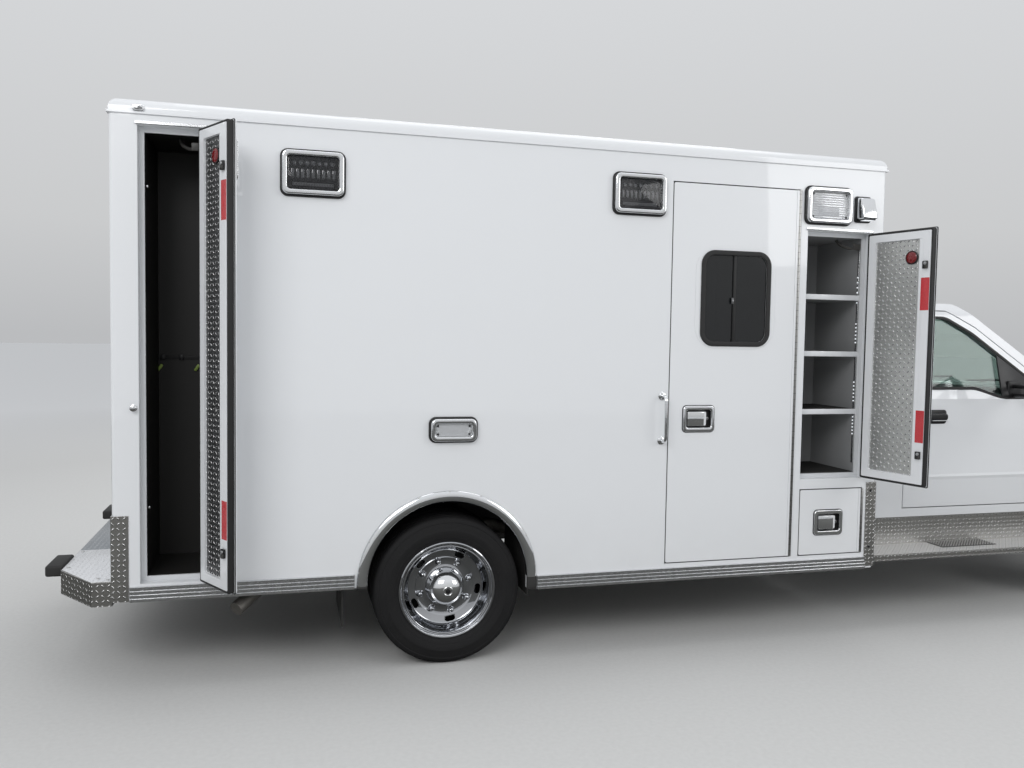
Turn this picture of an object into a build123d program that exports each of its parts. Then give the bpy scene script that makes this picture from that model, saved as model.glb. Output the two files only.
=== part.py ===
from build123d import *
import os
from math import cos, radians, sin

os.makedirs("parts", exist_ok=True)

# A modular ambulance: a two-door truck cab and chassis that carries a box body.
# Millimetres. +X points forward, +Y to the driver's left, +Z up from the ground.
# The origin lies on the ground, on the centreline, under the middle of the length.

# Box body
body_length = 4350
body_half = 1206.5
rear_overhang = 1675
wall = 50
gutter_z = 2828
roof_height = 77
roof_radius = 52
rear_skirt_z = 457
front_skirt_z = 396
floor_top = 850
floor_thickness = 70
arch_radius = 445
arch_z = 470

# Stations: distances ahead of the rear axle
cab_gap = 75
cab_to_axle = 2152
box_front = body_length - rear_overhang
cab_back = box_front + cab_gap
wheelbase = cab_back + cab_to_axle
door_back_x = cab_back + 290
door_front_x = cab_back + 1380
cowl_x = cab_back + 1680
nose_x = wheelbase + 788
bumper_front = nose_x + 182
step_reach = rear_overhang + 297
bumper_reach = rear_overhang + 385

# Axles and wheels; the origin is midway between the bumpers
rear_axle_x = (bumper_reach - bumper_front) / 2
front_axle_x = rear_axle_x + wheelbase
tyre_radius = 405
tyre_width = 225
rim_width = 165
bead_radius = 247
flange_radius = 262
front_track = 1840
outer_tyre_y = 1075
dual_spacing = 260
kingpin_y = 800

# Doors of the box body
door_gap = 6
door_thickness = 44
skin_flange = 12
seal_step = 14
hinge_radius = 4.7
hinge_out = 5
leaf_width = 24
leaf_thickness = 3
pan_frame = 58
pan_depth = 12
jamb_lip = 24
liner = 15

# Chassis frame
rail_y = 402
rail_width = 60
rail_height = 200
rail_back = -rear_overhang - 4
rail_front = nose_x + 30

# Cab and front end
cab_half = 1016
cab_bottom = 659
cab_panel = 45
belt_z = 1480
cab_floor_z = 850
nose_panel = 30
seat_clearance = 0.3
cab_round = 90
nose_round = 50

# Running boards and step
board_z = 465
board_half = 1190
step_top = 550


def station(distance):
    """The x of a point given by its distance ahead of the rear axle."""
    return rear_axle_x + distance


body_back = station(-rear_overhang)
body_front = body_back + body_length
floor_z = floor_top - floor_thickness
well_depth = 380
inner_half = body_half - wall
rail_top = floor_z
rail_bottom = rail_top - rail_height


# Chassis frame: two box rails, cross members, spring hangers and cab mounts

hanger_x = 730
spring_y = 477
hanger_bottom = 600
cab_mounts = (cab_back + 200, cab_back + 1450)
cross_members = (-1450, -560, 600, box_front - 475, cab_back + 700)

with BuildPart() as frame_rails:
    with BuildSketch(Plane.XY.offset(rail_bottom)):
        for side in (1, -1):
            with Locations((station((rail_front + rail_back) / 2), side * rail_y)):
                Rectangle(rail_front - rail_back, rail_width)
    extrude(amount=rail_height)
    with BuildSketch(Plane.XY.offset(rail_bottom + rail_height / 2)):
        for member in cross_members:
            with Locations((station(member), 0)):
                Rectangle(90, 2 * rail_y)
    extrude(amount=rail_height / 2 - 20)
    with BuildSketch(Plane.XY.offset(hanger_bottom)):
        hanger_width = 2 * (spring_y - rail_y) + 10
        for side in (1, -1):
            for end in (1, -1):
                with Locations((station(end * hanger_x), side * (rail_y + hanger_width / 2))):
                    Rectangle(100, hanger_width)
    extrude(amount=rail_top - hanger_bottom - 20)
    with BuildSketch(Plane.XY.offset(rail_top)):
        for mount in cab_mounts:
            with Locations((station(mount), rail_y), (station(mount), -rail_y)):
                Circle(28)
    extrude(amount=20)
frame_rails.part.label = "frame_rails"
export_step(frame_rails.part, "parts/frame_rails.step")


# Engine and gearbox, one plain block with its two mounting ears

engine_back = cowl_x + 30
engine_length = 850
engine_half = 330
engine_bottom = 600
engine_top = 1230
gearbox_back = cowl_x - 780

with BuildPart() as engine:
    with BuildSketch(Plane.XY.offset(engine_bottom)):
        with Locations((station(engine_back + engine_length / 2), 0)):
            Rectangle(engine_length, 2 * engine_half)
    extrude(amount=engine_top - engine_bottom)
    with BuildSketch(Plane.YZ.offset(station(gearbox_back))):
        with Locations((0, 620)):
            Circle(140)
    extrude(amount=engine_back - gearbox_back)
    with BuildSketch(Plane.XY.offset(rail_top - 80)):
        with Locations((station(engine_back + engine_length / 2), 0)):
            Rectangle(160, 2 * rail_y - rail_width)
    extrude(amount=60)


# Front axle: beam, kingpin ears and a coil spring under each rail

kingpin_boss_height = 120
kingpin_boss_radius = 48
ear_thickness = 25
beam_end = kingpin_y - kingpin_boss_radius - 6
spring_seat_z = 450

with BuildPart() as front_axle:
    with BuildSketch(Plane.XZ.offset(-beam_end)):
        with Locations((front_axle_x, tyre_radius)):
            Rectangle(100, kingpin_boss_height + 2 * ear_thickness)
    extrude(amount=2 * beam_end)
    with BuildSketch(Plane.XY.offset(tyre_radius - kingpin_boss_height / 2 - ear_thickness)):
        for side in (1, -1):
            with Locations((front_axle_x, side * (beam_end + kingpin_y) / 2)):
                Rectangle(70, kingpin_y - beam_end)
            with Locations((front_axle_x, side * kingpin_y)):
                Circle(35)
    extrude(amount=ear_thickness - seat_clearance)
    with BuildSketch(Plane.XY.offset(tyre_radius + kingpin_boss_height / 2 + seat_clearance)):
        for side in (1, -1):
            with Locations((front_axle_x, side * (beam_end + kingpin_y) / 2)):
                Rectangle(70, kingpin_y - beam_end)
            with Locations((front_axle_x, side * kingpin_y)):
                Circle(35)
    extrude(amount=ear_thickness - seat_clearance)
    with BuildSketch(Plane.XY.offset(spring_seat_z)):
        with Locations((front_axle_x, rail_y), (front_axle_x, -rail_y)):
            Circle(62)
    extrude(amount=rail_bottom - spring_seat_z)
front_axle.part.label = "front_axle"
export_step(front_axle.part, "parts/front_axle.step")


# Rear axle: tube, differential, drive shaft and the two leaf springs on their pads

axle_tube_radius = 65
axle_end = outer_tyre_y - dual_spacing / 2 - 225
diff_radius = 175
spring_thickness = 40
shaft_radius = 42

with BuildPart() as rear_axle:
    with BuildSketch(Plane.XZ.offset(-axle_end)):
        with Locations((rear_axle_x, tyre_radius)):
            Circle(axle_tube_radius)
    extrude(amount=2 * axle_end)
    with BuildSketch(Plane.YZ.offset(station(-170))):
        with Locations((0, tyre_radius)):
            Circle(diff_radius)
    extrude(amount=340, taper=8)
    with BuildSketch(Plane.XY.offset(tyre_radius)):
        with Locations((rear_axle_x, spring_y), (rear_axle_x, -spring_y)):
            Rectangle(140, 70)
    extrude(amount=axle_tube_radius + 20)
    for side in (1, -1):
        with BuildSketch(Plane.XZ.offset(side * spring_y + 35)):
            with BuildLine():
                spring_top = hanger_bottom - seat_clearance
                pad_top = tyre_radius + axle_tube_radius + 20
                upper = ThreePointArc(
                    (station(-hanger_x), spring_top),
                    (rear_axle_x, pad_top + spring_thickness),
                    (station(hanger_x), spring_top),
                )
                lower = ThreePointArc(
                    (station(-hanger_x), spring_top - spring_thickness),
                    (rear_axle_x, pad_top),
                    (station(hanger_x), spring_top - spring_thickness),
                )
                Line(upper @ 0, lower @ 0)
                Line(upper @ 1, lower @ 1)
            make_face()
        extrude(amount=-70)
    with BuildLine():
        shaft_line = Line((station(100), 0, tyre_radius), (station(gearbox_back - 3), 0, 600))
    with BuildSketch(Plane(origin=shaft_line @ 0, z_dir=shaft_line % 0)):
        Circle(shaft_radius)
    sweep(path=shaft_line)
rear_axle.part.label = "rear_axle"
export_step(rear_axle.part, "parts/rear_axle.step")


# Exhaust: pipe beside the right rail, muffler, and a tail that turns out behind the rear wheel

pipe_radius = 38
pipe_y = well_depth + 176.5 - inner_half
pipe_z = 640
muffler_z = 500
muffler_radius = 78

with BuildPart() as exhaust:
    with BuildLine() as pipe_path:
        FilletPolyline(
            (station(cowl_x - 130), -520, muffler_z),
            (station(cab_back + 550), pipe_y, muffler_z),
            (station(900), pipe_y, muffler_z),
            (station(350), pipe_y, pipe_z),
            (station(-640), pipe_y, pipe_z),
            (station(-1100), -1120, 360),
            radius=120,
        )
    with BuildSketch(Plane(origin=pipe_path.wire() @ 0, z_dir=pipe_path.wire() % 0)):
        Circle(pipe_radius)
    sweep(path=pipe_path.wire())
    with BuildSketch(Plane.YZ.offset(station(1200))):
        with Locations((pipe_y, muffler_z)):
            Circle(muffler_radius)
    extrude(amount=700)
    with BuildSketch(Plane.XZ.offset(-pipe_y - 20)):
        for strap in (1500, cab_back + 50):
            with Locations((station(strap), (muffler_z + rail_bottom + 60) / 2)):
                Rectangle(40, rail_bottom + 60 - muffler_z)
    extrude(amount=-(-pipe_y - 20 - rail_y - rail_width / 2))
exhaust.part.label = "exhaust"
export_step(exhaust.part, "parts/exhaust.step")


# Fuel tank between the rails, behind the rear axle

with BuildPart() as fuel_tank:
    with BuildSketch(Plane.XY.offset(470)):
        with Locations((station(-1000), 0)):
            RectangleRounded(720, 2 * rail_y - rail_width, 40)
    extrude(amount=200)
fuel_tank.part.label = "fuel_tank"
export_step(fuel_tank.part, "parts/fuel_tank.step")


# Doorways of the box body, as distances ahead of the rear axle and heights.
# Columns: name, side (1 right, -1 left), rear edge, front edge, sill, head, angle it stands open

lockers = (
    ("right_rear", 1, -1546, -1228, 542, gutter_z - 50, 120),
    ("right_front", 1, box_front - 533, box_front - 94, 962, gutter_z - 378, 106),
    ("right_lower", 1, box_front - 533, box_front - 94, 493, 901, 0),
    ("left_front", -1, box_front - 533, box_front - 94, 493, gutter_z - 378, 0),
    ("left_middle", -1, 640, 1300, 493, 1500, 0),
    ("left_rear", -1, -1546, -860, 542, 2000, 0),
)
locker_depth = 470
entry_back = box_front - 1410
entry_front = box_front - 589
entry_sill = 493
entry_head = gutter_z - 141
rear_doorway_half = 635
rear_doorway_head = gutter_z - 268
well_z = 478
housing_inner = 690
housing_wall = 15


# Floor of the box body, with the wheel housings and the step well at the side door

with BuildPart() as body_floor:
    with BuildSketch(Plane.XY.offset(floor_z)):
        with Locations(((body_back + body_front) / 2, 0)):
            Rectangle(body_length - 2 * wall, 2 * inner_half)
        for name, side, back, front, sill, head, opened in lockers:
            if sill < floor_top:
                with Locations((station((back + front) / 2), -side * (inner_half - locker_depth / 2))):
                    Rectangle(front - back + 60, locker_depth, mode=Mode.SUBTRACT)
        with Locations((station((entry_back + entry_front) / 2), -inner_half + well_depth / 2)):
            Rectangle(entry_front - entry_back, well_depth, mode=Mode.SUBTRACT)
        for side in (1, -1):
            with Locations((rear_axle_x, side * (inner_half + housing_inner) / 2)):
                Rectangle(2 * arch_radius, inner_half - housing_inner, mode=Mode.SUBTRACT)
    extrude(amount=floor_thickness)
    for side in (1, -1):
        with BuildSketch(Plane.XZ.offset(side * inner_half)):
            with Locations((rear_axle_x, arch_z)):
                Circle(arch_radius + housing_wall)
                Circle(arch_radius, mode=Mode.SUBTRACT)
            with Locations((rear_axle_x, floor_z - 500)):
                Rectangle(3 * arch_radius, 1000, mode=Mode.SUBTRACT)
        extrude(amount=-side * (inner_half - housing_inner))
        with BuildSketch(Plane.XZ.offset(side * housing_inner)):
            with Locations((rear_axle_x, arch_z)):
                Circle(arch_radius + housing_wall)
            with Locations((rear_axle_x, floor_z - 500)):
                Rectangle(3 * arch_radius, 1000, mode=Mode.SUBTRACT)
        extrude(amount=-side * housing_wall)
    with BuildSketch(Plane.XY.offset(well_z - liner)):
        with Locations((station((entry_back + entry_front) / 2), -inner_half + well_depth / 2)):
            Rectangle(entry_front - entry_back, well_depth)
    extrude(amount=floor_z - well_z + liner)
    with BuildSketch(Plane.XY.offset(well_z)):
        with Locations((station((entry_back + entry_front) / 2), -inner_half + (well_depth - liner) / 2)):
            Rectangle(entry_front - entry_back - 2 * liner, well_depth - liner)
    extrude(amount=floor_top - well_z, mode=Mode.SUBTRACT)
body_floor.part.label = "body_floor"
export_step(body_floor.part, "parts/body_floor.step")


# Side walls: one panel each, cut for its doors and for the wheel arch

def side_wall(side):
    """A side wall's solid; side is 1 for the right wall and -1 for the left."""
    with BuildPart() as panel:
        with BuildSketch(Plane.XZ.offset(side * body_half)):
            with Locations(((body_back + body_front) / 2, (front_skirt_z + gutter_z) / 2)):
                Rectangle(body_length, gutter_z - front_skirt_z)
            with Locations((rear_axle_x - rear_overhang / 2, front_skirt_z)):
                Rectangle(rear_overhang, 2 * (rear_skirt_z - front_skirt_z), mode=Mode.SUBTRACT)
            with Locations((rear_axle_x, arch_z)):
                Circle(arch_radius, mode=Mode.SUBTRACT)
            with Locations((rear_axle_x, arch_z / 2)):
                Rectangle(2 * arch_radius, arch_z, mode=Mode.SUBTRACT)
            for name, door_side, back, front, sill, head, opened in lockers:
                if door_side == side:
                    with Locations((station((back + front) / 2), (sill + head) / 2)):
                        Rectangle(front - back, head - sill, mode=Mode.SUBTRACT)
            if side == 1:
                with Locations((station((entry_back + entry_front) / 2), (entry_sill + entry_head) / 2)):
                    Rectangle(entry_front - entry_back, entry_head - entry_sill, mode=Mode.SUBTRACT)
        extrude(amount=-side * wall)
        uprights = panel.edges().filter_by(Axis.Z).filter_by(lambda edge: abs(edge.center().Y) > body_half - 1)
        fillet(uprights.sort_by(Axis.X)[0::len(uprights) - 1], radius=18)
    return panel


right_wall = side_wall(1)
right_wall.part.label = "right_wall"
export_step(right_wall.part, "parts/right_wall.step")

left_wall = side_wall(-1)
left_wall.part.label = "left_wall"
export_step(left_wall.part, "parts/left_wall.step")


# End walls, set between the side walls

with BuildPart() as front_wall:
    with BuildSketch(Plane.YZ.offset(body_front - wall)):
        with Locations((0, (front_skirt_z + gutter_z) / 2)):
            Rectangle(2 * inner_half, gutter_z - front_skirt_z)
        with Locations((0, floor_z / 2)):
            Rectangle(2 * (inner_half - 490), floor_z, mode=Mode.SUBTRACT)
    extrude(amount=wall)
front_wall.part.label = "front_wall"
export_step(front_wall.part, "parts/front_wall.step")

with BuildPart() as rear_wall:
    with BuildSketch(Plane.YZ.offset(body_back)):
        with Locations((0, (rear_skirt_z + gutter_z) / 2)):
            Rectangle(2 * inner_half, gutter_z - rear_skirt_z)
        with Locations((0, floor_z / 2)):
            Rectangle(2 * (rail_y + rail_width), floor_z, mode=Mode.SUBTRACT)
        with Locations((0, (floor_top + rear_doorway_head) / 2)):
            Rectangle(2 * rear_doorway_half, rear_doorway_head - floor_top, mode=Mode.SUBTRACT)
    extrude(amount=wall)
rear_wall.part.label = "rear_wall"
export_step(rear_wall.part, "parts/rear_wall.step")


# Roof, with rounded edges and a gutter lip

with BuildPart() as roof:
    with BuildSketch(Plane.XY.offset(gutter_z)):
        with Locations(((body_back + body_front) / 2, 0)):
            Rectangle(body_length, 2 * body_half)
    extrude(amount=roof_height)
    fillet(roof.faces().sort_by(Axis.Z)[-1].edges(), radius=roof_radius)
    with BuildSketch(Plane.XY.offset(gutter_z)):
        with Locations(((body_back + body_front) / 2, 0)):
            Rectangle(body_length + 16, 2 * body_half + 16)
    extrude(amount=10)
roof.part.label = "roof"
export_step(roof.part, "parts/roof.step")


# Locker liners behind the side doors: a flange against the wall and a box with its cavity

def locker_liner(doorways, shelves):
    """Liners for some doorways; shelves are heights in the second one."""
    with BuildPart() as boxes:
        for name, side, back, front, sill, head, opened in doorways:
            centre = (station((back + front) / 2), (sill + head) / 2)
            with BuildSketch(Plane.XZ.offset(side * inner_half)):
                with Locations(centre):
                    Rectangle(front - back + 36, head - sill + 36)
            extrude(amount=-side * 12)
            with BuildSketch(Plane.XZ.offset(side * inner_half)):
                with Locations(centre):
                    Rectangle(front - back - 2 * (jamb_lip - liner), head - sill - 2 * (jamb_lip - liner))
            extrude(amount=-side * locker_depth)
            with BuildSketch(Plane.XZ.offset(side * inner_half)):
                with Locations(centre):
                    Rectangle(front - back - 2 * jamb_lip, head - sill - 2 * jamb_lip)
            extrude(amount=-side * (locker_depth - liner), mode=Mode.SUBTRACT)
        shelved = doorways[1]
        side = shelved[1]
        for height in shelves:
            with BuildSketch(Plane.XZ.offset(side * (inner_half - 14))):
                with Locations((station((shelved[2] + shelved[3]) / 2), height)):
                    Rectangle(shelved[3] - shelved[2] - 2 * jamb_lip, 26)
            extrude(amount=-side * (locker_depth - liner - 14))
    return boxes


shelf_heights = (2061, 1716, 1362)

right_lockers = locker_liner(lockers[0:3], shelf_heights)
right_lockers.part.label = "right_lockers"
export_step(right_lockers.part, "parts/right_lockers.step")

left_lockers = locker_liner(lockers[3:6], ())
left_lockers.part.label = "left_lockers"
export_step(left_lockers.part, "parts/left_lockers.step")


# Doors of the box body. Each hangs on a piano hinge that stands just proud of the skin.
# A door is drawn on a plane through its hinge line: x runs to its free edge, y is height.

def leaf_plane(hinge, heading):
    """The plane through a hinge line at hinge, with x along heading in degrees."""
    run = radians(heading)
    return Plane(origin=(hinge[0], hinge[1], 0), x_dir=(cos(run), sin(run), 0), z_dir=(sin(run), -cos(run), 0))


def body_door(hinge, closed_heading, side, width, sill, head, opened, window=None, latch=None):
    """A door of the box body; side is 1 where it opens anticlockwise from above."""
    face = leaf_plane(hinge, closed_heading + side * opened)
    low = sill + door_gap
    height = head - sill - 2 * door_gap
    centre = (width / 2, low + height / 2)
    leaf = width - 2 * door_gap
    skin = hinge_out * side
    inside = skin + side * door_thickness
    with BuildPart() as door:
        with BuildSketch(face.offset(skin)):
            with Locations(centre):
                RectangleRounded(leaf, height, 10)
        extrude(amount=side * skin_flange)
        with BuildSketch(face.offset(skin)):
            with Locations(centre):
                RectangleRounded(leaf - 2 * seal_step, height - 2 * seal_step, 6)
        extrude(amount=side * door_thickness)
        with BuildSketch(face.offset(inside)):
            with Locations(centre):
                RectangleRounded(leaf - 2 * pan_frame, height - 2 * pan_frame, 12)
            if window:
                with Locations((window[0], window[1])):
                    RectangleRounded(window[2] + 70, window[3] + 70, window[4] + 30, mode=Mode.SUBTRACT)
        extrude(amount=-side * pan_depth, mode=Mode.SUBTRACT)
        if window:
            with BuildSketch(face.offset(skin)):
                with Locations((window[0], window[1])):
                    RectangleRounded(window[2], window[3], window[4])
            extrude(amount=side * door_thickness, mode=Mode.SUBTRACT)
        if latch:
            with BuildSketch(face.offset(skin)):
                with Locations((latch[0], latch[1])):
                    RectangleRounded(latch[2], latch[3], 22)
            extrude(amount=-side * 6)
            with BuildSketch(face.offset(skin - side * 6)):
                with Locations((latch[0], latch[1])):
                    RectangleRounded(latch[2] - 36, latch[3] - 44, 14)
            extrude(amount=side * 22, mode=Mode.SUBTRACT)
            with BuildSketch(face.offset(skin + side * 16)):
                with Locations((latch[0] + 10, latch[1])):
                    RectangleRounded(latch[2] - 76, latch[3] - 70, 8)
            extrude(amount=-side * 16)
        with BuildSketch(Plane.XY.offset(low)):
            with Locations(hinge):
                Circle(hinge_radius)
        extrude(amount=height)
        with BuildSketch(face.offset(skin - side * leaf_thickness)):
            with Locations((leaf_width / 2, low + height / 2)):
                Rectangle(leaf_width, height)
        extrude(amount=side * leaf_thickness)
    return door


def body_window(hinge, closed_heading, side, opened, window):
    """The framed pane that fills a door's window opening."""
    face = leaf_plane(hinge, closed_heading + side * opened)
    skin = hinge_out * side
    along, height, width, tall, corner = window
    play = 2 * seat_clearance
    with BuildPart() as pane:
        with BuildSketch(face.offset(skin - side * (8 + seat_clearance))):
            with Locations((along, height)):
                RectangleRounded(width + 40, tall + 40, corner + 20)
        extrude(amount=side * 8)
        with BuildSketch(face.offset(skin - side * seat_clearance)):
            with Locations((along, height)):
                RectangleRounded(width - play, tall - play, corner - seat_clearance)
        extrude(amount=side * 26)
        for pocket, amount in ((skin - side * (8 + seat_clearance), 14), (skin + side * (26 - seat_clearance), -14)):
            with BuildSketch(face.offset(pocket)):
                with Locations((along, height)):
                    RectangleRounded(width - 34, tall - 34, corner - 16)
            extrude(amount=side * amount, mode=Mode.SUBTRACT)
    return pane


for name, side, back, front, sill, head, opened in lockers:
    hinge_line = (station(front), -side * (body_half + hinge_out))
    paddle = (236, 693, 196, 150) if name == "right_lower" else None
    locker_door = body_door(hinge_line, 180, side, front - back, sill, head, opened, latch=paddle)
    locker_door.part.label = name + "_door"
    export_step(locker_door.part, "parts/" + name + "_door.step")

entry_hinge = (station(entry_front), -(body_half + hinge_out))
entry_width = entry_front - entry_back
entry_pane = (entry_width / 2, gutter_z - 796, 480, 546, 110)
entry_door = body_door(
    entry_hinge, 180, 1, entry_width, entry_sill, entry_head, 0,
    window=entry_pane, latch=(entry_width - 192, 1334, 196, 150),
)
entry_door.part.label = "entry_door"
export_step(entry_door.part, "parts/entry_door.step")

entry_window = body_window(entry_hinge, 180, 1, 0, entry_pane)
entry_window.part.label = "entry_window"
export_step(entry_window.part, "parts/entry_window.step")

rear_pane = (rear_doorway_half / 2, gutter_z - 808, 400, 546, 110)
for name, side in (("right", 1), ("left", -1)):
    rear_hinge = (body_back - hinge_out, -side * rear_doorway_half)
    paddle = (rear_doorway_half - 110, 1380, 150, 196) if name == "right" else None
    rear_door = body_door(
        rear_hinge, side * 90, side, rear_doorway_half, floor_top, rear_doorway_head, 0,
        window=rear_pane, latch=paddle,
    )
    rear_door.part.label = "rear_door_" + name
    export_step(rear_door.part, "parts/rear_door_" + name + ".step")
    rear_window = body_window(rear_hinge, side * 90, side, 0, rear_pane)
    rear_window.part.label = "rear_window_" + name
    export_step(rear_window.part, "parts/rear_window_" + name + ".step")


# Rub rails along the skirts, ribbed
# Columns: rear end, front end, bottom, all from the rear axle

rub_rail_height = 74
rub_rail_out = 20
rub_rail_runs = ((82 - rear_overhang, -504, rear_skirt_z), (496, box_front - 69, front_skirt_z))

with BuildPart() as rub_rails:
    for back, front, bottom in rub_rail_runs:
        with BuildSketch(Plane.YZ.offset(station(back))):
            with Locations((-body_half - rub_rail_out / 2, bottom + rub_rail_height / 2)):
                Rectangle(rub_rail_out, rub_rail_height)
            for groove in (-1, 0, 1):
                with Locations((-body_half - rub_rail_out, bottom + rub_rail_height / 2 + groove * 19)):
                    Rectangle(12, 7, mode=Mode.SUBTRACT)
        extrude(amount=front - back)
    mirror(about=Plane.XZ)
rub_rails.part.label = "rub_rails"
export_step(rub_rails.part, "parts/rub_rails.step")


# Bright trims around the rear wheel arches

trim_outer = 493
trim_inner = 437
trim_end_z = 464
trim_out = 16

with BuildPart() as arch_trims:
    with BuildSketch(Plane.XZ.offset(body_half)):
        with Locations((rear_axle_x, arch_z)):
            Circle(trim_outer)
            Circle(trim_inner, mode=Mode.SUBTRACT)
        with Locations((rear_axle_x, trim_end_z - 500)):
            Rectangle(3 * trim_outer, 1000, mode=Mode.SUBTRACT)
    extrude(amount=trim_out)
    mirror(about=Plane.XZ)
arch_trims.part.label = "arch_trims"
export_step(arch_trims.part, "parts/arch_trims.step")


# Tread-plate guards on the four lower corners
# Columns: corner x, direction inward, width, bottom, top

guard_thickness = 4
guards = ((body_back, 1, 77, rear_skirt_z, 883), (body_front, -1, 67, 408, 932))

with BuildPart() as corner_guards:
    for corner, inward, width, bottom, top in guards:
        with BuildSketch(Plane.XY.offset(bottom)):
            with BuildLine():
                Polyline(
                    (corner - inward * guard_thickness, -body_half - guard_thickness),
                    (corner + inward * width, -body_half - guard_thickness),
                    (corner + inward * width, -body_half),
                    (corner, -body_half),
                    (corner, -body_half + 40),
                    (corner - inward * guard_thickness, -body_half + 40),
                    close=True,
                )
            make_face()
        extrude(amount=top - bottom)
    mirror(about=Plane.XZ)
corner_guards.part.label = "corner_guards"
export_step(corner_guards.part, "parts/corner_guards.step")


# Rear step: a folded tray of tread plate with cut corners

step_bottom = 430
step_half = body_half - 30.5
step_plate = 8
plate_hole_radius = 3.5
plate_hole_spacing = 177.8
plate_hole_z = 490
step_back = rear_overhang + guard_thickness + seat_clearance
arm_x = station(rail_back - seat_clearance - 40)
step_outline = (
    (-step_back, -step_half), (-step_back - 94, -step_half), (-step_reach, 276 - step_half),
    (-step_reach, step_half - 276), (-step_back - 94, step_half), (-step_back, step_half),
)

with BuildPart() as rear_step:
    with BuildSketch(Plane.XY.offset(step_bottom)):
        with BuildLine():
            Polyline(*[(station(x), y) for x, y in step_outline], close=True)
        make_face()
    extrude(amount=step_top - step_bottom)
    with BuildSketch(Plane.XY.offset(step_bottom)) as hollow:
        with BuildLine():
            Polyline(*[(station(x), y) for x, y in step_outline], close=True)
        make_face()
        offset(amount=-step_plate)
    extrude(amount=step_top - step_bottom - step_plate, mode=Mode.SUBTRACT)
    with BuildSketch(Plane.XY.offset(step_bottom + 60)):
        with Locations((arm_x, rail_y), (arm_x, -rail_y)):
            Rectangle(80, rail_width)
    extrude(amount=50)
    with BuildSketch(Plane.YZ.offset(station(-step_reach))):
        for y in (-plate_hole_spacing / 2, plate_hole_spacing / 2):
            with Locations((y, plate_hole_z)):
                Circle(plate_hole_radius)
    extrude(amount=step_plate, mode=Mode.SUBTRACT)
rear_step.part.label = "rear_step"
export_step(rear_step.part, "parts/rear_step.step")


# Rubber pieces: dock bumpers on the step and mud flaps behind the rear wheels

dock_y = body_half - 481.5
flap_width = 450
flap_y = inner_half - 16.5 - flap_width / 2
flap_bottom = 230

with BuildPart() as rubber_pieces:
    with BuildSketch(Plane.XY.offset(446)):
        for side in (1, -1):
            with Locations((station(-(step_reach + bumper_reach) / 2), side * dock_y)):
                RectangleRounded(bumper_reach - step_reach, 250, 20)
    extrude(amount=94)
    with BuildSketch(Plane.YZ.offset(station(-566))):
        for side in (1, -1):
            with Locations((side * flap_y, (flap_bottom + floor_z) / 2)):
                Rectangle(flap_width, floor_z - flap_bottom)
    extrude(amount=10)
rubber_pieces.part.label = "rubber_pieces"
export_step(rubber_pieces.part, "parts/rubber_pieces.step")


# Lamps of the box body: a bezel frame with a lens in it
# Columns: wall, place along the wall, height, width, tall

side_lamps = (
    (-722, gutter_z - 232, 305, 218),
    (box_front - 1617, gutter_z - 230, 305, 218),
    (box_front - 405, gutter_z - 228, 301, 209),
    (14, 1288, 247, 120),
)
end_lamps = (
    ("front", 900, gutter_z - 228, 305, 218),
    ("front", 300, gutter_z - 228, 305, 218),
    ("rear", 950, gutter_z - 178, 305, 218),
    ("rear", 950, 1150, 200, 300),
    ("rear", 300, gutter_z - 138, 301, 160),
)
bezel_out = 26
bezel_frame = 22
lamp_walls = {
    "right": Plane(origin=(rear_axle_x, -body_half, 0), x_dir=(1, 0, 0), z_dir=(0, -1, 0)),
    "front": Plane(origin=(body_front, 0, 0), x_dir=(0, 1, 0), z_dir=(1, 0, 0)),
    "rear": Plane(origin=(body_back, 0, 0), x_dir=(0, -1, 0), z_dir=(-1, 0, 0)),
}
lamps = [("right",) + lamp for lamp in side_lamps] + list(end_lamps)
handle_x = entry_back - 39
handle_low = 1210
handle_high = 1467
handle_out = 60

with BuildPart() as bright_fittings:
    for wall_name, along, height, width, tall in lamps:
        with BuildSketch(lamp_walls[wall_name]):
            with Locations((along, height)):
                RectangleRounded(width, tall, 30)
                RectangleRounded(width - 2 * bezel_frame, tall - 2 * bezel_frame, 16, mode=Mode.SUBTRACT)
        extrude(amount=bezel_out)
    with BuildSketch(Plane.YZ.offset(station(box_front - 228))):
        with BuildLine():
            Polyline(
                (-body_half, gutter_z - 311), (-body_half, gutter_z - 165),
                (-body_half - 60, gutter_z - 178), (-body_half - 110, gutter_z - 311),
                close=True,
            )
        make_face()
    extrude(amount=160)
    mirror(about=Plane.XZ)
    with BuildLine() as grip_path:
        FilletPolyline(
            (station(handle_x), -body_half, handle_high),
            (station(handle_x), -body_half - handle_out, handle_high),
            (station(handle_x), -body_half - handle_out, handle_low),
            (station(handle_x), -body_half, handle_low),
            radius=28,
        )
    with BuildSketch(Plane(origin=grip_path.wire() @ 0, z_dir=(0, -1, 0))):
        Circle(11)
    sweep(path=grip_path.wire())
bright_fittings.part.label = "bright_fittings"
export_step(bright_fittings.part, "parts/bright_fittings.step")


# Cab: one rounded form from its side and front outlines, hollowed, then split into shell and doors
# Outline columns: station ahead of the rear axle, height; then half width, height

cab_side_outline = (
    (cab_back, cab_bottom), (cab_back, belt_z), (cab_back + 35, 2000), (cab_back + 130, 2078),
    (cab_back + 650, 2100), (cab_back + 795, 2070), (cowl_x - 10, 1447), (cowl_x, 1400), (cowl_x, cab_bottom),
)
cab_front_outline = (
    (cab_half, cab_bottom), (cab_half, 1430), (1000, belt_z), (875, 2000), (810, 2066), (400, 2098),
)


windscreen = Plane(origin=(station(cab_back + 1235), 0, 1757), x_dir=(0, 1, 0), z_dir=(623, 0, 875))
screen_width = 1720
screen_height = 860
screen_angle = 82


def placed(outline):
    """The x and z of an outline given in stations and heights."""
    return [(station(x), z) for x, z in outline]


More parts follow.
